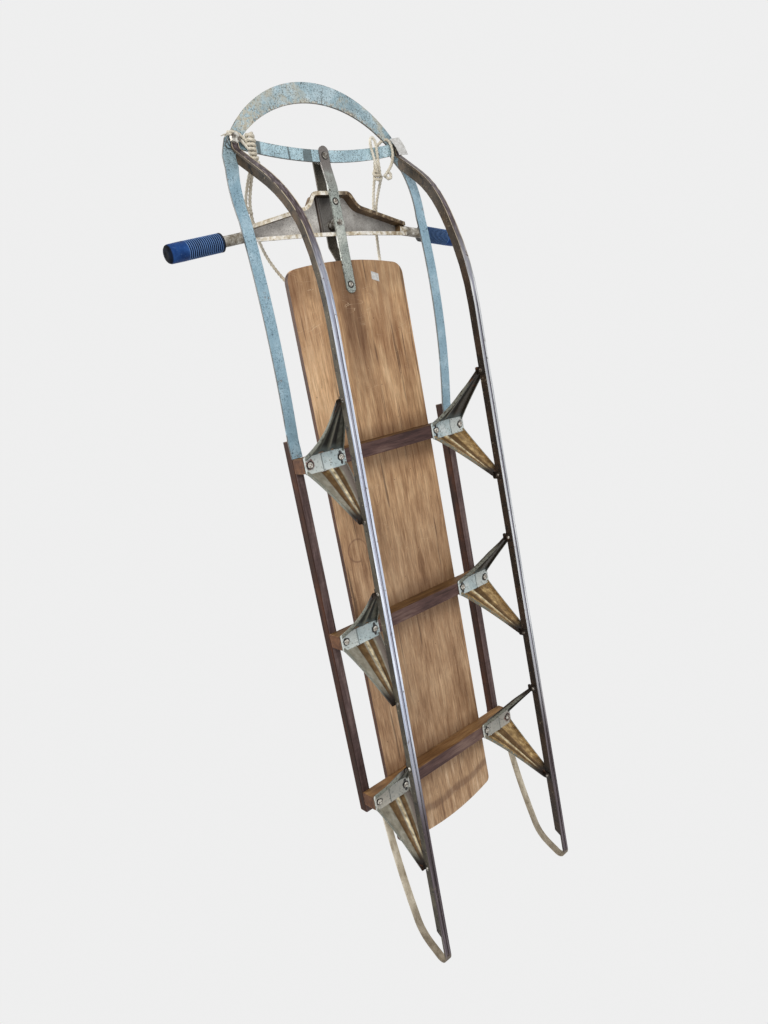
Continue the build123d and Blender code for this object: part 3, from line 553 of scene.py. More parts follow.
def bar_steel():
    p = Paint("stamped_bar_steel")
    cloud = p.noise(34, 5, 0.65, warp=0.5)
    fine = p.noise(520, 4, 0.7)
    wear = p.noise(110, 4, 0.65)
    grains = p.between(p.noise(800, 3, 0.7, shift=(1, 2, 3)), 0.42, 0.36)
    web = p.ramp(
        fine * 0.45 + cloud * 0.55, (0.36, 158, 153, 146), (0.5, 212, 208, 202), (0.62, 240, 238, 232))
    web = p.shade(p.blend(grains * 0.6, web, (104, 98, 92)), 1 - p.between(p.y, 0.0, 0.05) * 0.4)
    # the lower rims: bare metal, apart from the front one of the left arm, which is brown
    side_y = abs(p.y)
    rise = p.between(side_y, 0.045, 0.152) * 0.0155
    low = p.between(p.z - rise, 0.1338, 0.1322)
    front_rim = p.between(p.x - 0.462 - p.between(side_y, 0.15, 0.03) * 0.012, 0.0, 0.004)
    rims = p.coats(
        p.ramp(wear, (0.34, 158, 138, 110), (0.46, 212, 200, 176), (0.60, 250, 246, 238)),
        (p.between(p.y, 0.0, 0.03) * front_rim,
         p.ramp(wear, (0.34, 52, 38, 24), (0.5, 104, 82, 56), (0.64, 190, 174, 146))),
        (p.between(fine, 0.60, 0.70) * 0.7, (84, 66, 48)),
    )
    # brown walls, folds on both sides of the middle and the middle itself painted dark as shade, and brighter
    # necks
    wall = p.between(p.far(p.nx, p.ny), 0.4, 0.7)
    fold = p.between(abs(side_y - 0.020), 0.0046, 0.003)
    neck = p.between(side_y, 0.150, 0.156) * p.between(p.nz, 0.5, 0.1)
    spots = p.specks(300, 0.3) * p.between(cloud, 0.46, 0.6)
    colour = p.coats(
        web,
        (wall, p.ramp(cloud, (0.3, 48, 36, 24), (0.5, 92, 70, 46), (0.68, 140, 114, 80))),
        (low * p.between(-p.nz, 0.3, 0.6), rims),
        # painted shade on the folds beside the middle
        (fold * (1 - low) * 0.85, (38, 26, 18)),
        # the sunk middle of the bar painted dark, as shade
        (p.between(side_y, 0.020, 0.014) * (1 - low) * 0.75, (34, 27, 20)),
        (neck * 0.8, p.ramp(wear, (0.38, 84, 76, 66), (0.52, 150, 145, 136), (0.66, 222, 220, 212))),
        (spots * 0.5, (60, 54, 46)),
    )
    p.relief(fine * 0.8 + cloud * 0.4, 0.0004)
    return p.finish(Base_Color=colour, Roughness=0.44 + fine * 0.14, Metallic=0.15)


def bolt_steel():
    p = Paint("bolt_steel")
    cloud = p.noise(120, 4, 0.65)
    colour = p.ramp(cloud, (0.34, 64, 54, 44), (0.5, 150, 146, 138), (0.62, 226, 224, 216))
    colour = p.blend((1 - p.edge(0.0012)) * p.between(cloud, 0.58, 0.4) * 0.6, colour, (58, 40, 28))
    p.relief(p.noise(500, 3, 0.6), 0.0003)
    return p.finish(Base_Color=colour, Roughness=0.34 + cloud * 0.2, Metallic=0.7)


def rivet_steel():
    """Bright where it is rubbed; its steep sides are painted black, as shade in its hollow and round its
    foot.
    """
    p = Paint("rivet_steel")
    cloud = p.noise(400, 4, 0.65)
    colour = p.ramp(cloud, (0.36, 96, 86, 74), (0.5, 184, 178, 168), (0.62, 236, 234, 226))
    # painted shade on the steep sides: in the hollow and round the foot
    colour = p.blend(p.between(abs(p.nz), 0.55, 0.30), colour, (40, 32, 26))
    p.relief(p.noise(500, 3, 0.6), 0.0003)
    return p.finish(Base_Color=colour, Roughness=0.36 + cloud * 0.2, Metallic=0.55)


def grip_rubber():
    """Its piece says how far along the grip a point lies, and how far below the ridges."""
    p = Paint("navy_grip")
    along, depth, _ = p.own_places()
    cloud = p.noise(60, 4, 0.6)
    fine = p.noise(700, 3, 0.6)
    closed_end = p.between(along, 0.2680, 0.2702)
    colour = p.coats(
        p.ramp(cloud, (0.3, 14, 42, 88), (0.5, 24, 60, 116), (0.7, 44, 84, 146)),
        # painted shade in the grooves between the ridges
        (p.between(depth, 0.0004, 0.0009), (8, 14, 30)),
        # painted highlight on the crests of the ridges
        (p.between(depth, 0.0003, 0.0) * p.between(along, 0.246, 0.244) * 0.6, (128, 164, 210)),
        (p.between(along, 0.1906, 0.1898), (18, 18, 20)),
        (p.between(p.noise(260, 4, 0.7), 0.60, 0.70) * 0.35, (120, 152, 192)),
        # the closed end is painted near black, as a dark reflection
        (closed_end, p.ramp(cloud, (0.4, 8, 10, 14), (0.6, 20, 28, 44))),
    )
    p.relief(fine, 0.0003, 0.3)
    return p.finish(Base_Color=colour, Roughness=0.42 + fine * 0.12 + closed_end * 0.4,
                    Specular_IOR_Level=0.12)


def rope_fibre():
    p = Paint("cotton_rope")
    fine = p.noise(900, 3, 0.7)
    mottle = fine * 0.5 + p.noise(28, 4, 0.6) * 0.5
    colour = p.ramp(mottle, (0.36, 166, 154, 134), (0.5, 212, 204, 186), (0.62, 242, 238, 226))
    p.relief(fine, 0.0004, 0.7)
    return p.finish(Base_Color=colour, Roughness=0.86, Sheen_Weight=0.15)


def blank_paper():
    p = Paint("blank_paper")
    colour = p.ramp(p.noise(260, 4, 0.6), (0.35, 186, 184, 180), (0.55, 212, 212, 210), (0.7, 226, 226, 224))
    worn = p.edge(0.0014) * p.between(p.noise(300, 3, 0.6), 0.40, 0.55)
    colour = p.blend(worn * 0.7, colour, (120, 116, 110))
    p.relief(p.noise(60, 3), 0.0006, 0.6)
    return p.finish(Base_Color=colour, Roughness=0.62)


FINISHES = {
    "runner": worn_runner_steel(), "knee": knee_paint(), "crossbeam": beam_wood(), "side_rail": rail_wood(),
    "deck_board": deck_wood(), "side_strut": blue_paint(), "centre_strap_lower": strap_steel(),
    "centre_strap_upper": upper_strap_steel(), "steering_bar": bar_steel(), "corner_bolt": bolt_steel(),
    "grip": grip_rubber(), "rope": rope_fibre(), "paper": blank_paper(), "rivet": rivet_steel(),
}
for also, finish in (("bumper_hoop", "side_strut"), ("front_crossbar", "side_strut"),
                     ("pivot_bolt", "corner_bolt"), ("spacer_bolt", "corner_bolt")):
    FINISHES[also] = FINISHES[finish]


def dress(piece, material):
    piece.data.materials.clear()
    piece.data.materials.append(material)


for name, piece in nodes.items():
    kind = max((k for k in FINISHES if name.startswith(k)), key=len)
    dress(piece, FINISHES[kind])


def placed(name, data):
    """A new object in the scene."""
    thing = bpy.data.objects.new(name, data)
    bpy.context.scene.collection.objects.link(thing)
    return thing


def evaluated(thing):
    """An object's curve or modifiers as a plain mesh."""
    return bpy.data.meshes.new_from_object(thing.evaluated_get(bpy.context.evaluated_depsgraph_get()))


def piece_from(name, verts, faces, body, material, smooth=True):
    mesh = bpy.data.meshes.new(name)
    mesh.from_pydata(verts, [], faces)
    mesh.validate()
    for polygon in mesh.polygons:
        polygon.use_smooth = smooth
    piece = placed(name, mesh)
    dress(piece, material)
    if body:
        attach(piece, body)
    return piece


def closed_piece(name, verts, faces, body, material, smooth=True, places=(), merge=0.0, sharp_from=0):
    """A piece with its faces turned outwards. Its material can read a place for each of its points."""
    piece = piece_from(name, verts, faces, None, material, smooth)
    if places:
        spot = piece.data.attributes.new("place", "FLOAT_VECTOR", "POINT")
        spot.data.foreach_set("vector", [c for place in places for c in place])
    work = bmesh.new()
    work.from_mesh(piece.data)
    if merge:
        bmesh.ops.remove_doubles(work, verts=work.verts, dist=merge)
    bmesh.ops.recalc_face_normals(work, faces=work.faces)
    work.to_mesh(piece.data)
    work.free()
    if sharp_from:
        piece.data.set_sharp_from_angle(angle=math.radians(sharp_from))
    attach(piece, body)
    return piece


def part_way(start, end, share):
    return start + (end - start) * share


def ring_faces(rows, around):
    """Faces between rows of points that each go round."""
    return [(r * around + k, r * around + (k + 1) % around, (r + 1) * around + (k + 1) % around,
             (r + 1) * around + k) for r in range(rows - 1) for k in range(around)]


def closed_mesh(loops):
    """A skin through loops of equal length, with a flat face on the first and the last."""
    verts = [v for loop in loops for v in loop]
    n = len(loops[0])
    ends = [tuple(reversed(range(n))), tuple(range(len(verts) - n, len(verts)))]
    return verts, ring_faces(len(loops), n) + ends


# Knees: pressed from sheet, a plate with rolled rims and two fluted legs each
CORNER_STEPS = 6
PLATE_CORNER_R = 0.0035
PLATE_RIMS = (                              # inset and height, from the top to the pressed field
    (0.0, 0.1), (0.0, 0.0985), (0.0003, 0.0979), (0.0010, PLATE_UNDER), (0.0019, PLATE_UNDER),
    (0.0027, 0.0979), (0.0034, 0.0981))
LEG_SHEET = 0.0024
LEG_TOP = 0.0995
LEG_HALF = (0.0350, 0.0080)                 # half width under the plate and at the foot
LEG_FOLD = (0.006, 0.005)                   # depth of the folded edges there
LEG_CORNER_R = 0.0018
FLUTES = ((0.12, 0.27), (-0.47, 0.18))      # centre and half width, as shares of the leg's half width
FLUTE_DEPTH = 0.0038
FLUTE_FADES = (0.55, 0.95)                  # how far down the leg
WAISTS = {(-1, 1): (0.0, 0.0115), (-1, -1): (-0.0035, 0.0025),      # (side, end): how far the inner and the
          (1, 1): (0.0105, 0.002), (1, -1): (0.004, 0.001)}         # outer edge of the leg are drawn in
LEG_ROWS = 22
LEG_COLUMNS = 48
TAB_Z = 0.0145
TAB_HALF = (0.006, 0.0085)
TAB_CORNER_R = 0.0025
TAB_STEPS = ((0.0, 0.0), (0.0020, 0.0), (FOOT_TAB_T, 0.0005))       # depth from the web, and inset


def rounded_loop(half_x, half_y, corner):
    """A rounded rectangle round the origin."""
    loop = []
    for quarter, (sx, sy) in enumerate(((1, 1), (-1, 1), (-1, -1), (1, -1))):
        for k in range(CORNER_STEPS + 1):
            a = math.pi / 2 * (quarter + k / CORNER_STEPS)
            loop.append(((half_x - corner) * sx + corner * math.cos(a),
                         (half_y - corner) * sy + corner * math.sin(a)))
    return loop


def flute(share, down):
    """How far the sheet stands back from its plane, at a share of the half width."""
    start, end = FLUTE_FADES
    fade = 1 - min(max((down - start) / (end - start), 0), 1)
    depth = 0.0
    for centre, half in FLUTES:
        off = (share - centre) / half
        if abs(off) < 1:
            depth += FLUTE_DEPTH * fade * math.cos(off * math.pi / 2) ** 0.8
    return depth


def leg_section(half_in, half_out, fold, down):
    """Middle line of the sheet across a leg, as (across, inward), folded at both edges."""
    r = LEG_CORNER_R
    turn = [math.pi / 6 * k for k in range(4)]
    line = [(half_out, fold), (half_out, (fold + r) / 2)]
    line += [(half_out - r + r * math.cos(a), r - r * math.sin(a)) for a in turn]
    for k in range(1, LEG_COLUMNS):
        across = part_way(half_out - r, r - half_in, k / LEG_COLUMNS)
        share = across / (half_out if across > 0 else half_in)
        line.append((across, -flute(share, down)))
    line += [(r - half_in - r * math.cos(a), r - r * math.sin(a)) for a in reversed(turn)]
    return line + [(-half_in, (fold + r) / 2), (-half_in, fold)]


def sheet_outline(line, thick):
    """Both faces of a sheet whose middle line is given, as one closed loop."""
    sides = ([], [])
    for i, (a, b) in enumerate(line):
        before, after = line[max(i - 1, 0)], line[min(i + 1, len(line) - 1)]
        along = math.hypot(after[0] - before[0], after[1] - before[1])
        na, nb = (after[1] - before[1]) / along, -(after[0] - before[0]) / along
        for side, sign in zip(sides, (0.5, -0.5)):
            side.append((a + na * thick * sign, b + nb * thick * sign))
    return sides[0] + sides[1][::-1]


def knee_leg(side, end):
    """A leg round its knee's centre, as on the left side: towards the nose (1) or the tail (-1)."""
    loops = []
    for row in range(LEG_ROWS + 1):
        down = row / LEG_ROWS
        drawn_in = math.sin(math.pi * down ** 0.75)
        inner, outer = (part_way(*LEG_HALF, down) - amount * drawn_in for amount in WAISTS[side, end])
        x = part_way(PLATE_HALF[0], FOOT[0], down) - LEG_SHEET / 2
        z = part_way(LEG_TOP, FOOT[1], down)
        section = leg_section(inner, outer, part_way(*LEG_FOLD, down), down)
        loops.append([(end * (x - inward), across, z, across / (outer if across > 0 else inner), down)
                      for across, inward in sheet_outline(section, LEG_SHEET)])
    return loops


def pressed_knee(name, knee_x, side):
    """Plate, legs and feet of one knee. A point's place is across a leg, down it and which leg it is on."""
    verts, faces, places = [], [], []

    def add(loops, spots):
        some, more = closed_mesh(loops)
        faces.extend(tuple(i + len(verts) for i in face) for face in more)
        verts.extend(some)
        places.extend(spots if len(spots) > 1 else spots * len(some))

    add([[(knee_x + x, side * (PLATE_Y + y), z) for x, y in rounded_loop(
        PLATE_HALF[0] - inset, PLATE_HALF[1] - inset, PLATE_CORNER_R - inset * 0.6)]
        for inset, z in PLATE_RIMS], [(0.0, 0.0, 0.0)])
    for end in (1, -1):
        foot_x = knee_x + end * TAB_X
        foot_y = runner_y(foot_x)
        loops, spots = [], []
        for loop in knee_leg(side, end):
            loops.append([(knee_x + x, side * (part_way(PLATE_Y, foot_y, down) + across), z)
                          for x, across, z, _, down in loop])
            spots += [(share, down, float(end)) for *_, share, down in loop]
        add(loops, spots)
        add([[(foot_x + x, side * (foot_y - WEB_HALF - depth), TAB_Z + y) for x, y in rounded_loop(
            TAB_HALF[0] - inset, TAB_HALF[1] - inset, TAB_CORNER_R)]
            for depth, inset in TAB_STEPS], [(0.9, 1.0, float(end))])
    return closed_piece(name, verts, faces, "frame", FINISHES["knee"], places=places, sharp_from=38)


for place, knee_x in KNEE_X.items():
    for side_name, side in SIDES:
        pressed = pressed_knee(f"pressed_knee_{place}_{side_name}", knee_x, side)
        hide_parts(f"knee_{place}_{side_name}")


# Pull rope: one line from the right end of the crossbar to the coil on the deck and back to the left end, in
# millimetres
RIGHT_LEAD = [
    (565, -119, 138.9), (550, -119.5, 142.5), (528, -121.5, 156), (505, -122.5, 168), (472, -121, 169.5),
    (437, -113, 169.5), (406, -98.5, 163.5), (375, -83, 148.5), (342, -65.5, 140.6), (310, -46, 139.9),
    (284, -36.5, 140),
]
LEFT_LEAD = [
    (284, 37.5, 143), (310, 49.5, 140.6), (342, 70, 140.6), (375, 87.5, 147.5), (406, 98, 162),
    (437, 104.5, 168.5), (472, 107.5, 168.5), (503, 107.5, 166), (528, 106, 155), (550, 104, 142.5),
    (565, 104, 138.9),
]
COIL_CENTRE = (255, 0)
COIL_TURNS = 5.5
COIL_OUT = 35.6
COIL_STEP = 5.5
COIL_Z = 139.9
COIL_RISE = 5.3             # from the lower turns to the upper ones
COIL_RISES_OVER = 0.35      # of a turn
POINTS_A_TURN = 14
VALLEY = 0.78               # least radius between two strands, as a share of the rope's
YARN_R = 0.0007
YARN_SPREAD = 2.4           # radians from one loose yarn to the next
BAR_TURN = (11.5, 4.5)      # half depth and half height of a turn round the crossbar
BAR_TURN_STEPS = 16
TURN_PITCH = 5.4
WOUND_STEPS = 12            # to a turn that is wound round a line
WOUND_UNEVEN = 0.5


def coil_points():
    """Turns that spiral in on the deck and out again on top of the first ones."""
    points = []
    half = COIL_TURNS / 2
    for i in range(int(COIL_TURNS * POINTS_A_TURN) + 1):
        turn = i / POINTS_A_TURN
        angle = -math.pi / 2 - 2 * math.pi * turn
        radius = COIL_OUT - COIL_STEP * (half - abs(turn - half))
        points.append((COIL_CENTRE[0] + radius * math.cos(angle), COIL_CENTRE[1] + radius * math.sin(angle),
                       COIL_Z + COIL_RISE * smooth_step((turn - half) / COIL_RISES_OVER + 0.5)))
    return points


def smooth_line(points, name):
    """Points in metres along a NURBS curve whose control points are given in millimetres."""
    curve = bpy.data.curves.new(name, "CURVE")
    curve.dimensions = "3D"
    spline = curve.splines.new("NURBS")
    spline.points.add(len(points) - 1)
    for point, (x, y, z) in zip(spline.points, points):
        point.co = (x / 1000, y / 1000, z / 1000, 1)
    spline.order_u = 3
    spline.use_endpoint_u = True
    curve.resolution_u = 10
    line = placed(name, curve)
    mesh = evaluated(line)
    along = [v.co.copy() for v in mesh.vertices]
    bpy.data.meshes.remove(mesh)
    bpy.data.objects.remove(line)
    return along


def evenly(points, step):
    """The same line with points a step apart."""
    out = [points[0]]
    left = step
    for a, b in zip(points, points[1:]):
        span = (b - a).length
        done = 0.0
        while span - done >= left:
            done += left
            out.append(a.lerp(b, done / span))
            left = step
        left -= span - done
    if (out[-1] - points[-1]).length > step / 3:
        out.append(points[-1])
    return out


def laid_rope(points, radius=ROPE_D / 2, pitch=0.0165, around=12, step=0.0012, taper=0.0):
    """A three-strand rope along a line, as a lobed section that turns as it goes: verts, faces and path."""
    points = evenly(points, step)
    strand = radius / (1 + 2 / math.sqrt(3))
    centre = radius - strand
    section = []
    for k in range(around):
        angle = 2 * math.pi * k / around
        off = (angle + math.pi / 3) % (2 * math.pi / 3) - math.pi / 3
        inside = strand ** 2 - (centre * math.sin(off)) ** 2
        reach = centre * math.cos(off) + math.sqrt(max(inside, 0))
        section.append((angle, max(reach, VALLEY * radius)))
    loops = []
    side = (points[1] - points[0]).normalized().orthogonal().normalized()
    for i, point in enumerate(points):
        ahead = (points[min(i + 1, len(points) - 1)] - points[max(i - 1, 0)]).normalized()
        side = (side - ahead * side.dot(ahead)).normalized()
        up = ahead.cross(side)
        twist = 2 * math.pi * i * step / pitch
        thin = 1 - taper * i / len(points)
        loops.append([point + (side * math.cos(angle + twist) + up * math.sin(angle + twist)) * reach * thin
                      for angle, reach in section])
    return *closed_mesh(loops), points


rope_line = smooth_line(RIGHT_LEAD + coil_points() + LEFT_LEAD, "rope_line")
verts, faces, rope_path = laid_rope(rope_line)
pull_rope = piece_from("pull_rope", verts, faces, "frame", FINISHES["rope"])
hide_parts("rope_lead_left", "rope_lead_right", "rope_coil")


def tied(name, node, strands, yarns=()):
    """One piece of several strands and loose yarns, each along a smooth line of its own."""
    verts, faces = [], []

    def lay(points, **sizes):
        some, more, _ = laid_rope(smooth_line(points, name + "_line"), **sizes)
        faces.extend(tuple(k + len(verts) for k in face) for face in more)
        verts.extend(some)

    for points, taper in strands:
        lay(points, taper=taper)
    for points in yarns:
        lay(points, radius=YARN_R, pitch=0.006, around=6, step=0.0010, taper=0.6)
    knot = piece_from(name, verts, faces, "frame", FINISHES["rope"])
    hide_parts(node)
    return knot


def bar_turn(middle, yaw):
    """One turn of the rope round the crossbar."""
    points = []
    for i in range(BAR_TURN_STEPS + 1):
        share = i / BAR_TURN_STEPS
        angle = 2 * math.pi * share - math.pi / 2
        c, s = math.cos(angle), math.sin(angle)
        x = BAR_TURN[0] * math.copysign(abs(c) ** 0.45, c)
        z = BAR_TURN[1] * math.copysign(abs(s) ** 0.6, s)
        off = Matrix.Rotation(yaw, 3, "Z") @ Vector((x, (share - 0.5) * TURN_PITCH, z))
        points.append(Vector(middle) + off)
    return points


def coiled(start, end, radius, turns):
    """Turns of the rope round a line between two points, packed side by side and a little uneven."""
    start, end = Vector(start), Vector(end)
    axis = (end - start).normalized()
    side = axis.cross(Vector((0, 0, 1))).normalized()
    up = side.cross(axis)
    points = []
    count = turns * WOUND_STEPS
    for i in range(count + 1):
        angle = 2 * math.pi * i / WOUND_STEPS
        wide = radius + WOUND_UNEVEN * math.sin(i * 0.37)
        points.append(start.lerp(end, i / count) + (side * math.cos(angle) + up * math.sin(angle)) * wide)
    return points


def tuft(root, ahead, count):
    """Loose yarns at the end of a strand."""
    root, ahead = Vector(root), Vector(ahead)
    yarns = []
    for i in range(count):
        a = YARN_SPREAD * i
        out = Vector((math.cos(a) * 0.5, math.sin(a), math.cos(a) * 0.8)) * (2.2 + 1.6 * ((i * 7) % 5) / 5)
        start = root + out * 0.35
        tip = root + ahead * (0.8 + 0.35 * ((i * 3) % 4) / 4) + out
        yarns.append([start, (start + tip) / 2 + out * 0.25, tip])
    return yarns


# Right end: a turn round the bar, turns stacked under it, two strands to the hoop's end, and one beside the
# lead that ends in two turns round it
right_knot = tied("rope_knot_at_right", "rope_knot_right", [
    (bar_turn((574.3, -122, 134.5), math.radians(-12.5)), 0),
    (coiled((589, -125.4, 125.4), (566, -125.4, 126.4), 4.6, 4), 0),
    (coiled((567, -125.0, 126.6), (551, -120.6, 131.5), 3.9, 3), 0),
    ([(574, -126, 129.8), (580, -130.6, 129.2), (585.5, -136.6, 128.8), (589.5, -143.6, 128.8),
      (591, -150, 129.2), (589.5, -157, 130.2)], 0.1),
    ([(571, -130, 129.6), (576, -135, 128.6), (582, -141.6, 128.2), (586.5, -149, 128.6),
      (587.5, -156, 129.6)], 0.1),
    ([(556, -123, 131.5), (545, -125.4, 143), (528, -126.9, 156.5), (511, -128, 167.5),
      (496, -128.4, 170)], 0),
    (coiled((503, -125.6, 169.6), (495, -125.6, 170.2), 4.6, 2), 0),
], tuft((588.5, -156.5, 130), (-4, -8, 0), 11) + tuft((495, -127, 170.2), (-9, -1, 1), 9))
# Left end: a slack loop under the bar, a strand round the corner with its end, one beside the lead, and two
# turns round the loop's neck
left_knot = tied("rope_knot_at_left", "rope_knot_left", [
    ([(538, 103, 136.5), (548, 99, 131.5), (560, 95.5, 129.6), (574, 92.6, 129.2), (585, 91.6, 129.2),
      (592.5, 93.8, 129.2), (594.5, 97.6, 129.4), (591.5, 101.6, 129.2), (583, 103, 129.2),
      (572, 102.6, 129.4), (560, 102.2, 129.8), (549, 103.6, 131.5), (539, 107, 136)], 0),
    ([(576, 109, 142.4), (586, 116, 143), (593.6, 126, 140), (594.5, 132, 134), (587, 135.0, 129.6),
      (572, 136.2, 129.2), (557, 131, 129.4), (546, 122, 131), (538, 114, 134.5)], 0),
    ([(546, 121, 131.5), (540, 126.5, 131), (534, 124, 132), (535.5, 118, 134.5), (542, 116.5, 136)], 0),
    ([(540, 111, 137.5), (526, 112.8, 150), (508, 114.2, 164), (490, 114, 170.2), (474, 113.4, 170.8)], 0.1),
    (coiled((545, 100.5, 134.4), (535, 103.8, 140), 5.2, 2), 0),
])


# Grips: ringed sleeves with a smooth closed end
GRIP_START = (0.48094, 0.002945)        # from above: the point from which lengths along its line count
GRIP_AIM = (-0.14608, 0.98927)
GRIP_Z = 0.153
GRIP_AROUND = 48
RIDGES = 18
RIDGE_PITCH = 0.0030
RIDGE = (                               # share of the pitch, and drop
    (0.12, 0.0014), (0.40, 0.0015), (0.5, 0.0004), (0.65, 0.0), (0.85, 0.0), (1.0, 0.0004))


def grip_profile():
    """(along, radius, depth below the ridges) from the bore's blind end round the outside to the end."""
    line = [(0.268, 0.0, 0.0), (0.268, 0.0077, 0.0), (0.188, 0.0077, 0.0), (0.188, 0.0122, 0.0),
            (0.1884, 0.0130, 0.0), (0.1896, 0.0130, 0.0), (0.1900, 0.0126, 0.0)]
    line += [(0.1905 + (k + share) * RIDGE_PITCH, 0.0129 - drop, drop) for k in range(RIDGES)
             for share, drop in RIDGE]
    return line + [(0.2460, 0.0130, 0.0), (0.2600, 0.0128, 0.0), (0.2680, 0.0126, 0.0), (0.2700, 0.0118, 0.0),
                   (0.2714, 0.0104, 0.0), (0.2723, 0.0080, 0.0), (0.2726, 0.0052, 0.0),
                   (0.2722, 0.0034, 0.001), (0.2716, 0.0, 0.001)]


def ringed_grip(name, side):
    (x0, y0), (dx, dy) = GRIP_START, GRIP_AIM
    profile = grip_profile()
    verts, places = [], []
    for along, radius, depth in profile:
        for k in range(GRIP_AROUND):
            a = 2 * math.pi * k / GRIP_AROUND
            across = radius * math.cos(a)
            verts.append((x0 + dx * along + dy * across, side * (y0 + dy * along - dx * across),
                          GRIP_Z + radius * math.sin(a)))
            places.append((along, depth, 0.0))
    return closed_piece(name, verts, ring_faces(len(profile), GRIP_AROUND), "steering", FINISHES["grip"],
                        places=places, merge=1e-6, sharp_from=50)


for side_name, side in SIDES:
    ringed = ringed_grip(f"ringed_grip_{side_name}", side)
    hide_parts(f"grip_{side_name}")


# A blank paper tag at the left corner and a blank sticker under the deck's nose
TAG = ((591.3, 128.6, 124), (594.4, 148.6, 124), (568, 159.5, 120.5), (567, 141, 120.5))
STICKER = ((395.4, 45.4, 126.86), (390.4, 59.6, 126.86), (378.0, 59.2, 126.86), (383.0, 45.0, 126.86))


def paper(name, corners, bow, thick):
    """A sheet over four corners in millimetres, bowed along its length, with a thickness."""
    a, b, c, d = (Vector(p) / 1000 for p in corners)
    half = Vector((0, 0, thick / 2))
    rows, cols = 12, 6
    sheet = []
    for i in range(rows + 1):
        for j in range(cols + 1):
            u, v = i / rows, j / cols
            point = a.lerp(d, u).lerp(b.lerp(c, u), v)
            point.z += bow * math.sin(math.pi * u)
            sheet.append(point)
    n, w = len(sheet), cols + 1
    faces = []
    for i in range(rows):
        for j in range(cols):
            k = i * w + j
            faces += [(k, k + 1, k + w + 1, k + w), (n + k, n + k + w, n + k + w + 1, n + k + 1)]
    border = list(range(cols)) + [i * w + cols for i in range(rows)]
    border += [rows * w + j for j in range(cols, 0, -1)] + [i * w for i in range(rows, 0, -1)]
    faces += [(one, two, two + n, one + n) for one, two in zip(border, border[1:] + border[:1])]
    closed_piece(name, [p + half for p in sheet] + [p - half for p in sheet], faces, "frame",
                 FINISHES["paper"], smooth=False)


paper("blank_tag", TAG, -0.002, 0.0004)
paper("blank_sticker", STICKER, 0.0, 0.00016)


# Rivets and screws
RING = (0.7, 0.3)               # its middle line and its roll, as shares of a head's radius
CUP = (0.6, 0.3)                # radius and height of its hollow middle, as shares of a head's
STRAP_RIVET_X = (0.378, 0.4988)
FOOT_RIVET_Z = 0.0115
DOWN, UP = (0, 0, -1), (0, 0, 1)


class Shape(Graph):
    """A Geometry Nodes tree with named inputs."""

    def __init__(self, name, *inputs):
        super().__init__(bpy.data.node_groups.new(name, "GeometryNodeTree"))
        face = self.tree.interface
        face.new_socket("Geometry", in_out="OUTPUT", socket_type="NodeSocketGeometry")
        for label, kind in (("Geometry", "Geometry"), *inputs):
            face.new_socket(label, in_out="INPUT", socket_type="NodeSocket" + kind)
        start = self.put("NodeGroupInput")
        self.given = {s.name: Wire(self, s) for s in start.outputs if s.name}

    def circle(self, resolution, radius):
        return self.wire("GeometryNodeCurvePrimitiveCircle", values={
            "Resolution": resolution, "Radius": radius})

    def scaled(self, geometry, *sides):
        return self.wire("GeometryNodeTransform", values={
            "Geometry": geometry,
            "Scale": self.wire("ShaderNodeCombineXYZ", values=dict(enumerate(sides)))})

    def end(self, geometry, material):
        real = self.wire("GeometryNodeRealizeInstances", values={0: geometry})
        done = self.wire("GeometryNodeSetMaterial", values={"Geometry": real, "Material": material})
        self.put("NodeGroupOutput", values={0: done})
        return self.tree


def heads_tree():
    """A head on every point, turned along the point's aim: a dome, or a rolled ring with a hollow middle."""
    s = Shape("fastener_heads", ("Radius", "Float"), ("Height", "Float"), ("Ring", "Bool"),
              ("Material", "Material"))
    radius, height = s.given["Radius"], s.given["Height"]
    ball = s.wire("GeometryNodeMeshUVSphere", values={"Segments": 20, "Rings": 12, "Radius": 1.0})
    dome = s.scaled(ball, radius, radius, height)
    cup = s.scaled(ball, radius * CUP[0], radius * CUP[0], height * CUP[1])
    ring = s.wire("GeometryNodeCurveToMesh", values={
        "Curve": s.circle(24, radius * RING[0]), "Profile Curve": s.circle(10, radius * RING[1])})
    both = s.put("GeometryNodeJoinGeometry")
    for part in (ring, cup):
        s.feed(both.inputs[0], part)
    head = s.wire("GeometryNodeSwitch", {"input_type": "GEOMETRY"}, {
        0: s.given["Ring"], 1: dome, 2: Wire(s, both.outputs[0])})
    aim = s.wire("GeometryNodeInputNamedAttribute", {"data_type": "FLOAT_VECTOR"}, {0: "aim"})
    turned = s.wire("FunctionNodeAlignRotationToVector", {"axis": "Z"}, {"Vector": aim})
    put = s.wire("GeometryNodeInstanceOnPoints", values={
        "Points": s.given["Geometry"], "Instance": head, "Rotation": turned})
    return s.end(put, s.given["Material"])


def grown(name, tree, points, aims, body, **inputs):
    """Runs a tree on points with aims and keeps its result as a plain mesh that rides on a body."""
    mesh = bpy.data.meshes.new(name)
    mesh.from_pydata(points, [], [])
    aim = mesh.attributes.new("aim", "FLOAT_VECTOR", "POINT")
    aim.data.foreach_set("vector", [c for a in aims for c in a])
    seed = placed(name + "_points", mesh)
    modifier = seed.modifiers.new("make", "NODES")
    modifier.node_group = tree
    for item in tree.interface.items_tree:
        if item.in_out == "INPUT" and item.name in inputs:
            modifier[item.identifier] = inputs[item.name]
    made = evaluated(seed)
    bpy.data.objects.remove(seed)
    made.name = name
    for polygon in made.polygons:
        polygon.use_smooth = True
    piece = placed(name, made)
    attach(piece, body)
    return piece


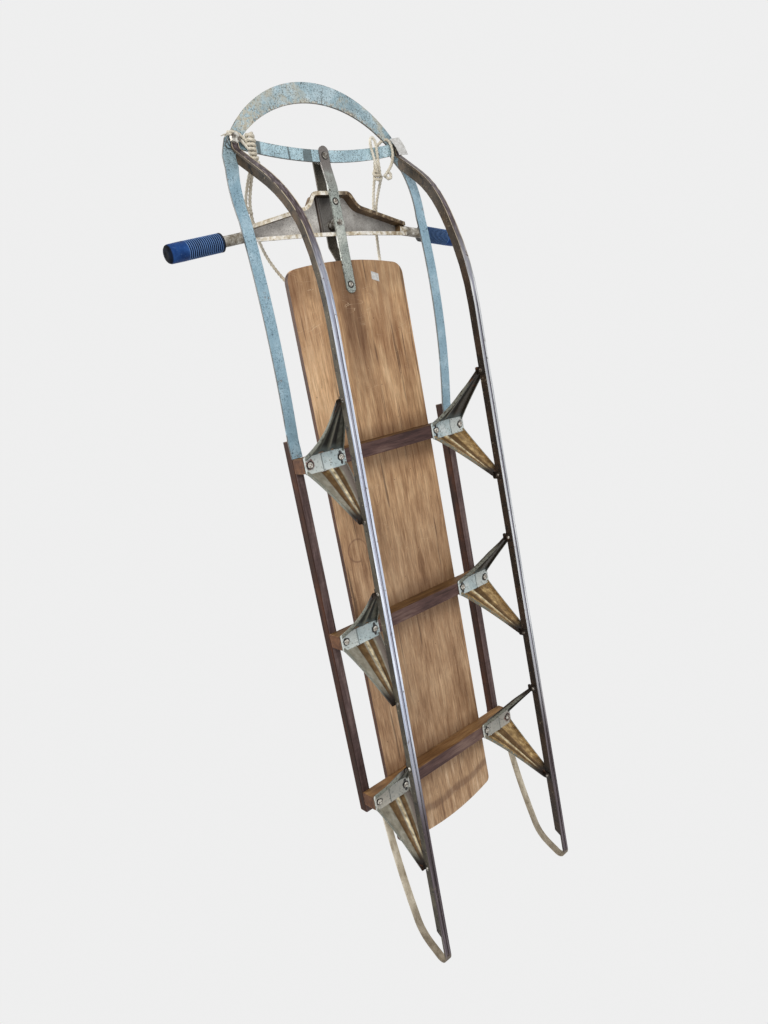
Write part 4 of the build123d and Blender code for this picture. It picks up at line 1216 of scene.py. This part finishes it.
HEADS = heads_tree()
plate_ends = [(x, side * (PLATE_Y + out * RIVET_APART), out)
              for x in KNEE_X.values() for side in (1, -1) for out in (1, -1)]
plate_heads = [((x, y, PLATE_UNDER), DOWN) for x, y, _ in plate_ends]
top_heads = [((x, y, RAIL_TOP if out > 0 else DECK_TOP), UP) for x, y, out in plate_ends]
top_heads += [((x, 0, DECK_TOP), UP) for x in KNEE_X.values()]
strap_heads = [((x, 0, STRAP_UNDER), DOWN) for x in STRAP_RIVET_X]
foot_heads = [((x, side * (runner_y(x) + reach), FOOT_RIVET_Z), (0, side * out, 0))
              for x in (knee + end * TAB_X for knee in KNEE_X.values() for end in (1, -1))
              for side in (1, -1) for out, reach in ((1, WEB_HALF), (-1, -WEB_HALF - FOOT_TAB_T))]
for name, heads, radius, height, ring, steel in (
        ("plate_rivets", plate_heads, 0.0046, 0.0018, True, "rivet"),
        ("top_rivets", top_heads, 0.0050, 0.0020, False, "corner_bolt"),
        ("strap_rivets", strap_heads, 0.0038, 0.0016, True, "rivet"),
        ("foot_rivets", foot_heads, 0.0030, 0.0016, False, "corner_bolt")):
    rivets = grown(name, HEADS, *zip(*heads), "frame", Radius=radius, Height=height, Ring=ring,
                   Material=FINISHES[steel])


# Stage: floor, lights and camera
def floor_material():
    """Pale from above, and clear from below."""
    p = Paint("pale_floor")
    p.finish(Roughness=0.8, Base_Color=tone(232, 231, 228))
    clear = Wire(p, p.put("ShaderNodeBsdfTransparent").outputs[0])
    behind = Wire(p, p.put("ShaderNodeNewGeometry").outputs["Backfacing"])
    mix = p.wire("ShaderNodeMixShader", values={0: behind, 1: Wire(p, p.shader.outputs[0]), 2: clear})
    p.feed(p.tree.nodes["Material Output"].inputs["Surface"], mix)
    return p.material


floor = piece_from("floor", [(-6, -6, 0), (6, -6, 0), (6, 6, 0), (-6, 6, 0)], [(0, 1, 2, 3)], None,
                   floor_material())
for ray in ("shadow", "diffuse", "glossy", "transmission"):
    setattr(floor, "visible_" + ray, False)

world = bpy.data.worlds.new("studio")
bpy.context.scene.world = world
world.use_nodes = True
sky = Graph(world.node_tree)
path = sky.put("ShaderNodeLightPath")
seen = Wire(sky, path.outputs["Is Camera Ray"])
for ray in ("Is Glossy Ray", "Is Transmission Ray"):
    seen = sky.maths("MAXIMUM", seen, Wire(sky, path.outputs[ray]))
light = sky.wire("ShaderNodeBackground", values={"Color": (1, 1, 1, 1), "Strength": 0.5 + seen * 0.36})
sky.feed(world.node_tree.nodes["World Output"].inputs["Surface"], light)


LIT = Vector((0, 0, 0.1))
WARM = (1.0, 0.98, 0.95)


def lamp(name, place, size, power, colour=(1, 1, 1)):
    data = bpy.data.lights.new(name, "AREA")
    data.size = size
    data.energy = power
    data.color = colour
    thing = placed(name, data)
    thing.location = place
    thing.rotation_euler = (LIT - Vector(place)).to_track_quat("-Z", "Y").to_euler()


lamp("key_below", (1.5, -1.5, -1.2), 1.0, 30, WARM)
lamp("fill_below", (-0.6, 0.6, -1.9), 1.6, 8)
lamp("key_above", (0.9, -1.3, 1.9), 1.2, 30, WARM)

FOCAL_LENGTH = 717          # pixels
PICTURE_HEIGHT = 1024
EYE = Vector((0.25076, -0.70783, -0.77388))
RIGHT = Vector((-0.1813, 0.75736, -0.62732))
BELOW = Vector((-0.96323, -0.26538, -0.04202))
AHEAD = Vector((-0.19831, 0.59663, 0.77763))
camera_data = bpy.data.cameras.new("camera")
camera = placed("camera", camera_data)
bpy.context.scene.camera = camera
camera_data.sensor_fit = "VERTICAL"
camera_data.sensor_height = 36
camera_data.lens = camera_data.sensor_height * FOCAL_LENGTH / PICTURE_HEIGHT
camera_data.clip_start = 0.01
turn = Matrix((RIGHT, -BELOW, -AHEAD)).transposed()
camera.matrix_world = Matrix.Translation(EYE) @ turn.to_4x4()
bpy.context.scene.view_settings.view_transform = "Standard"
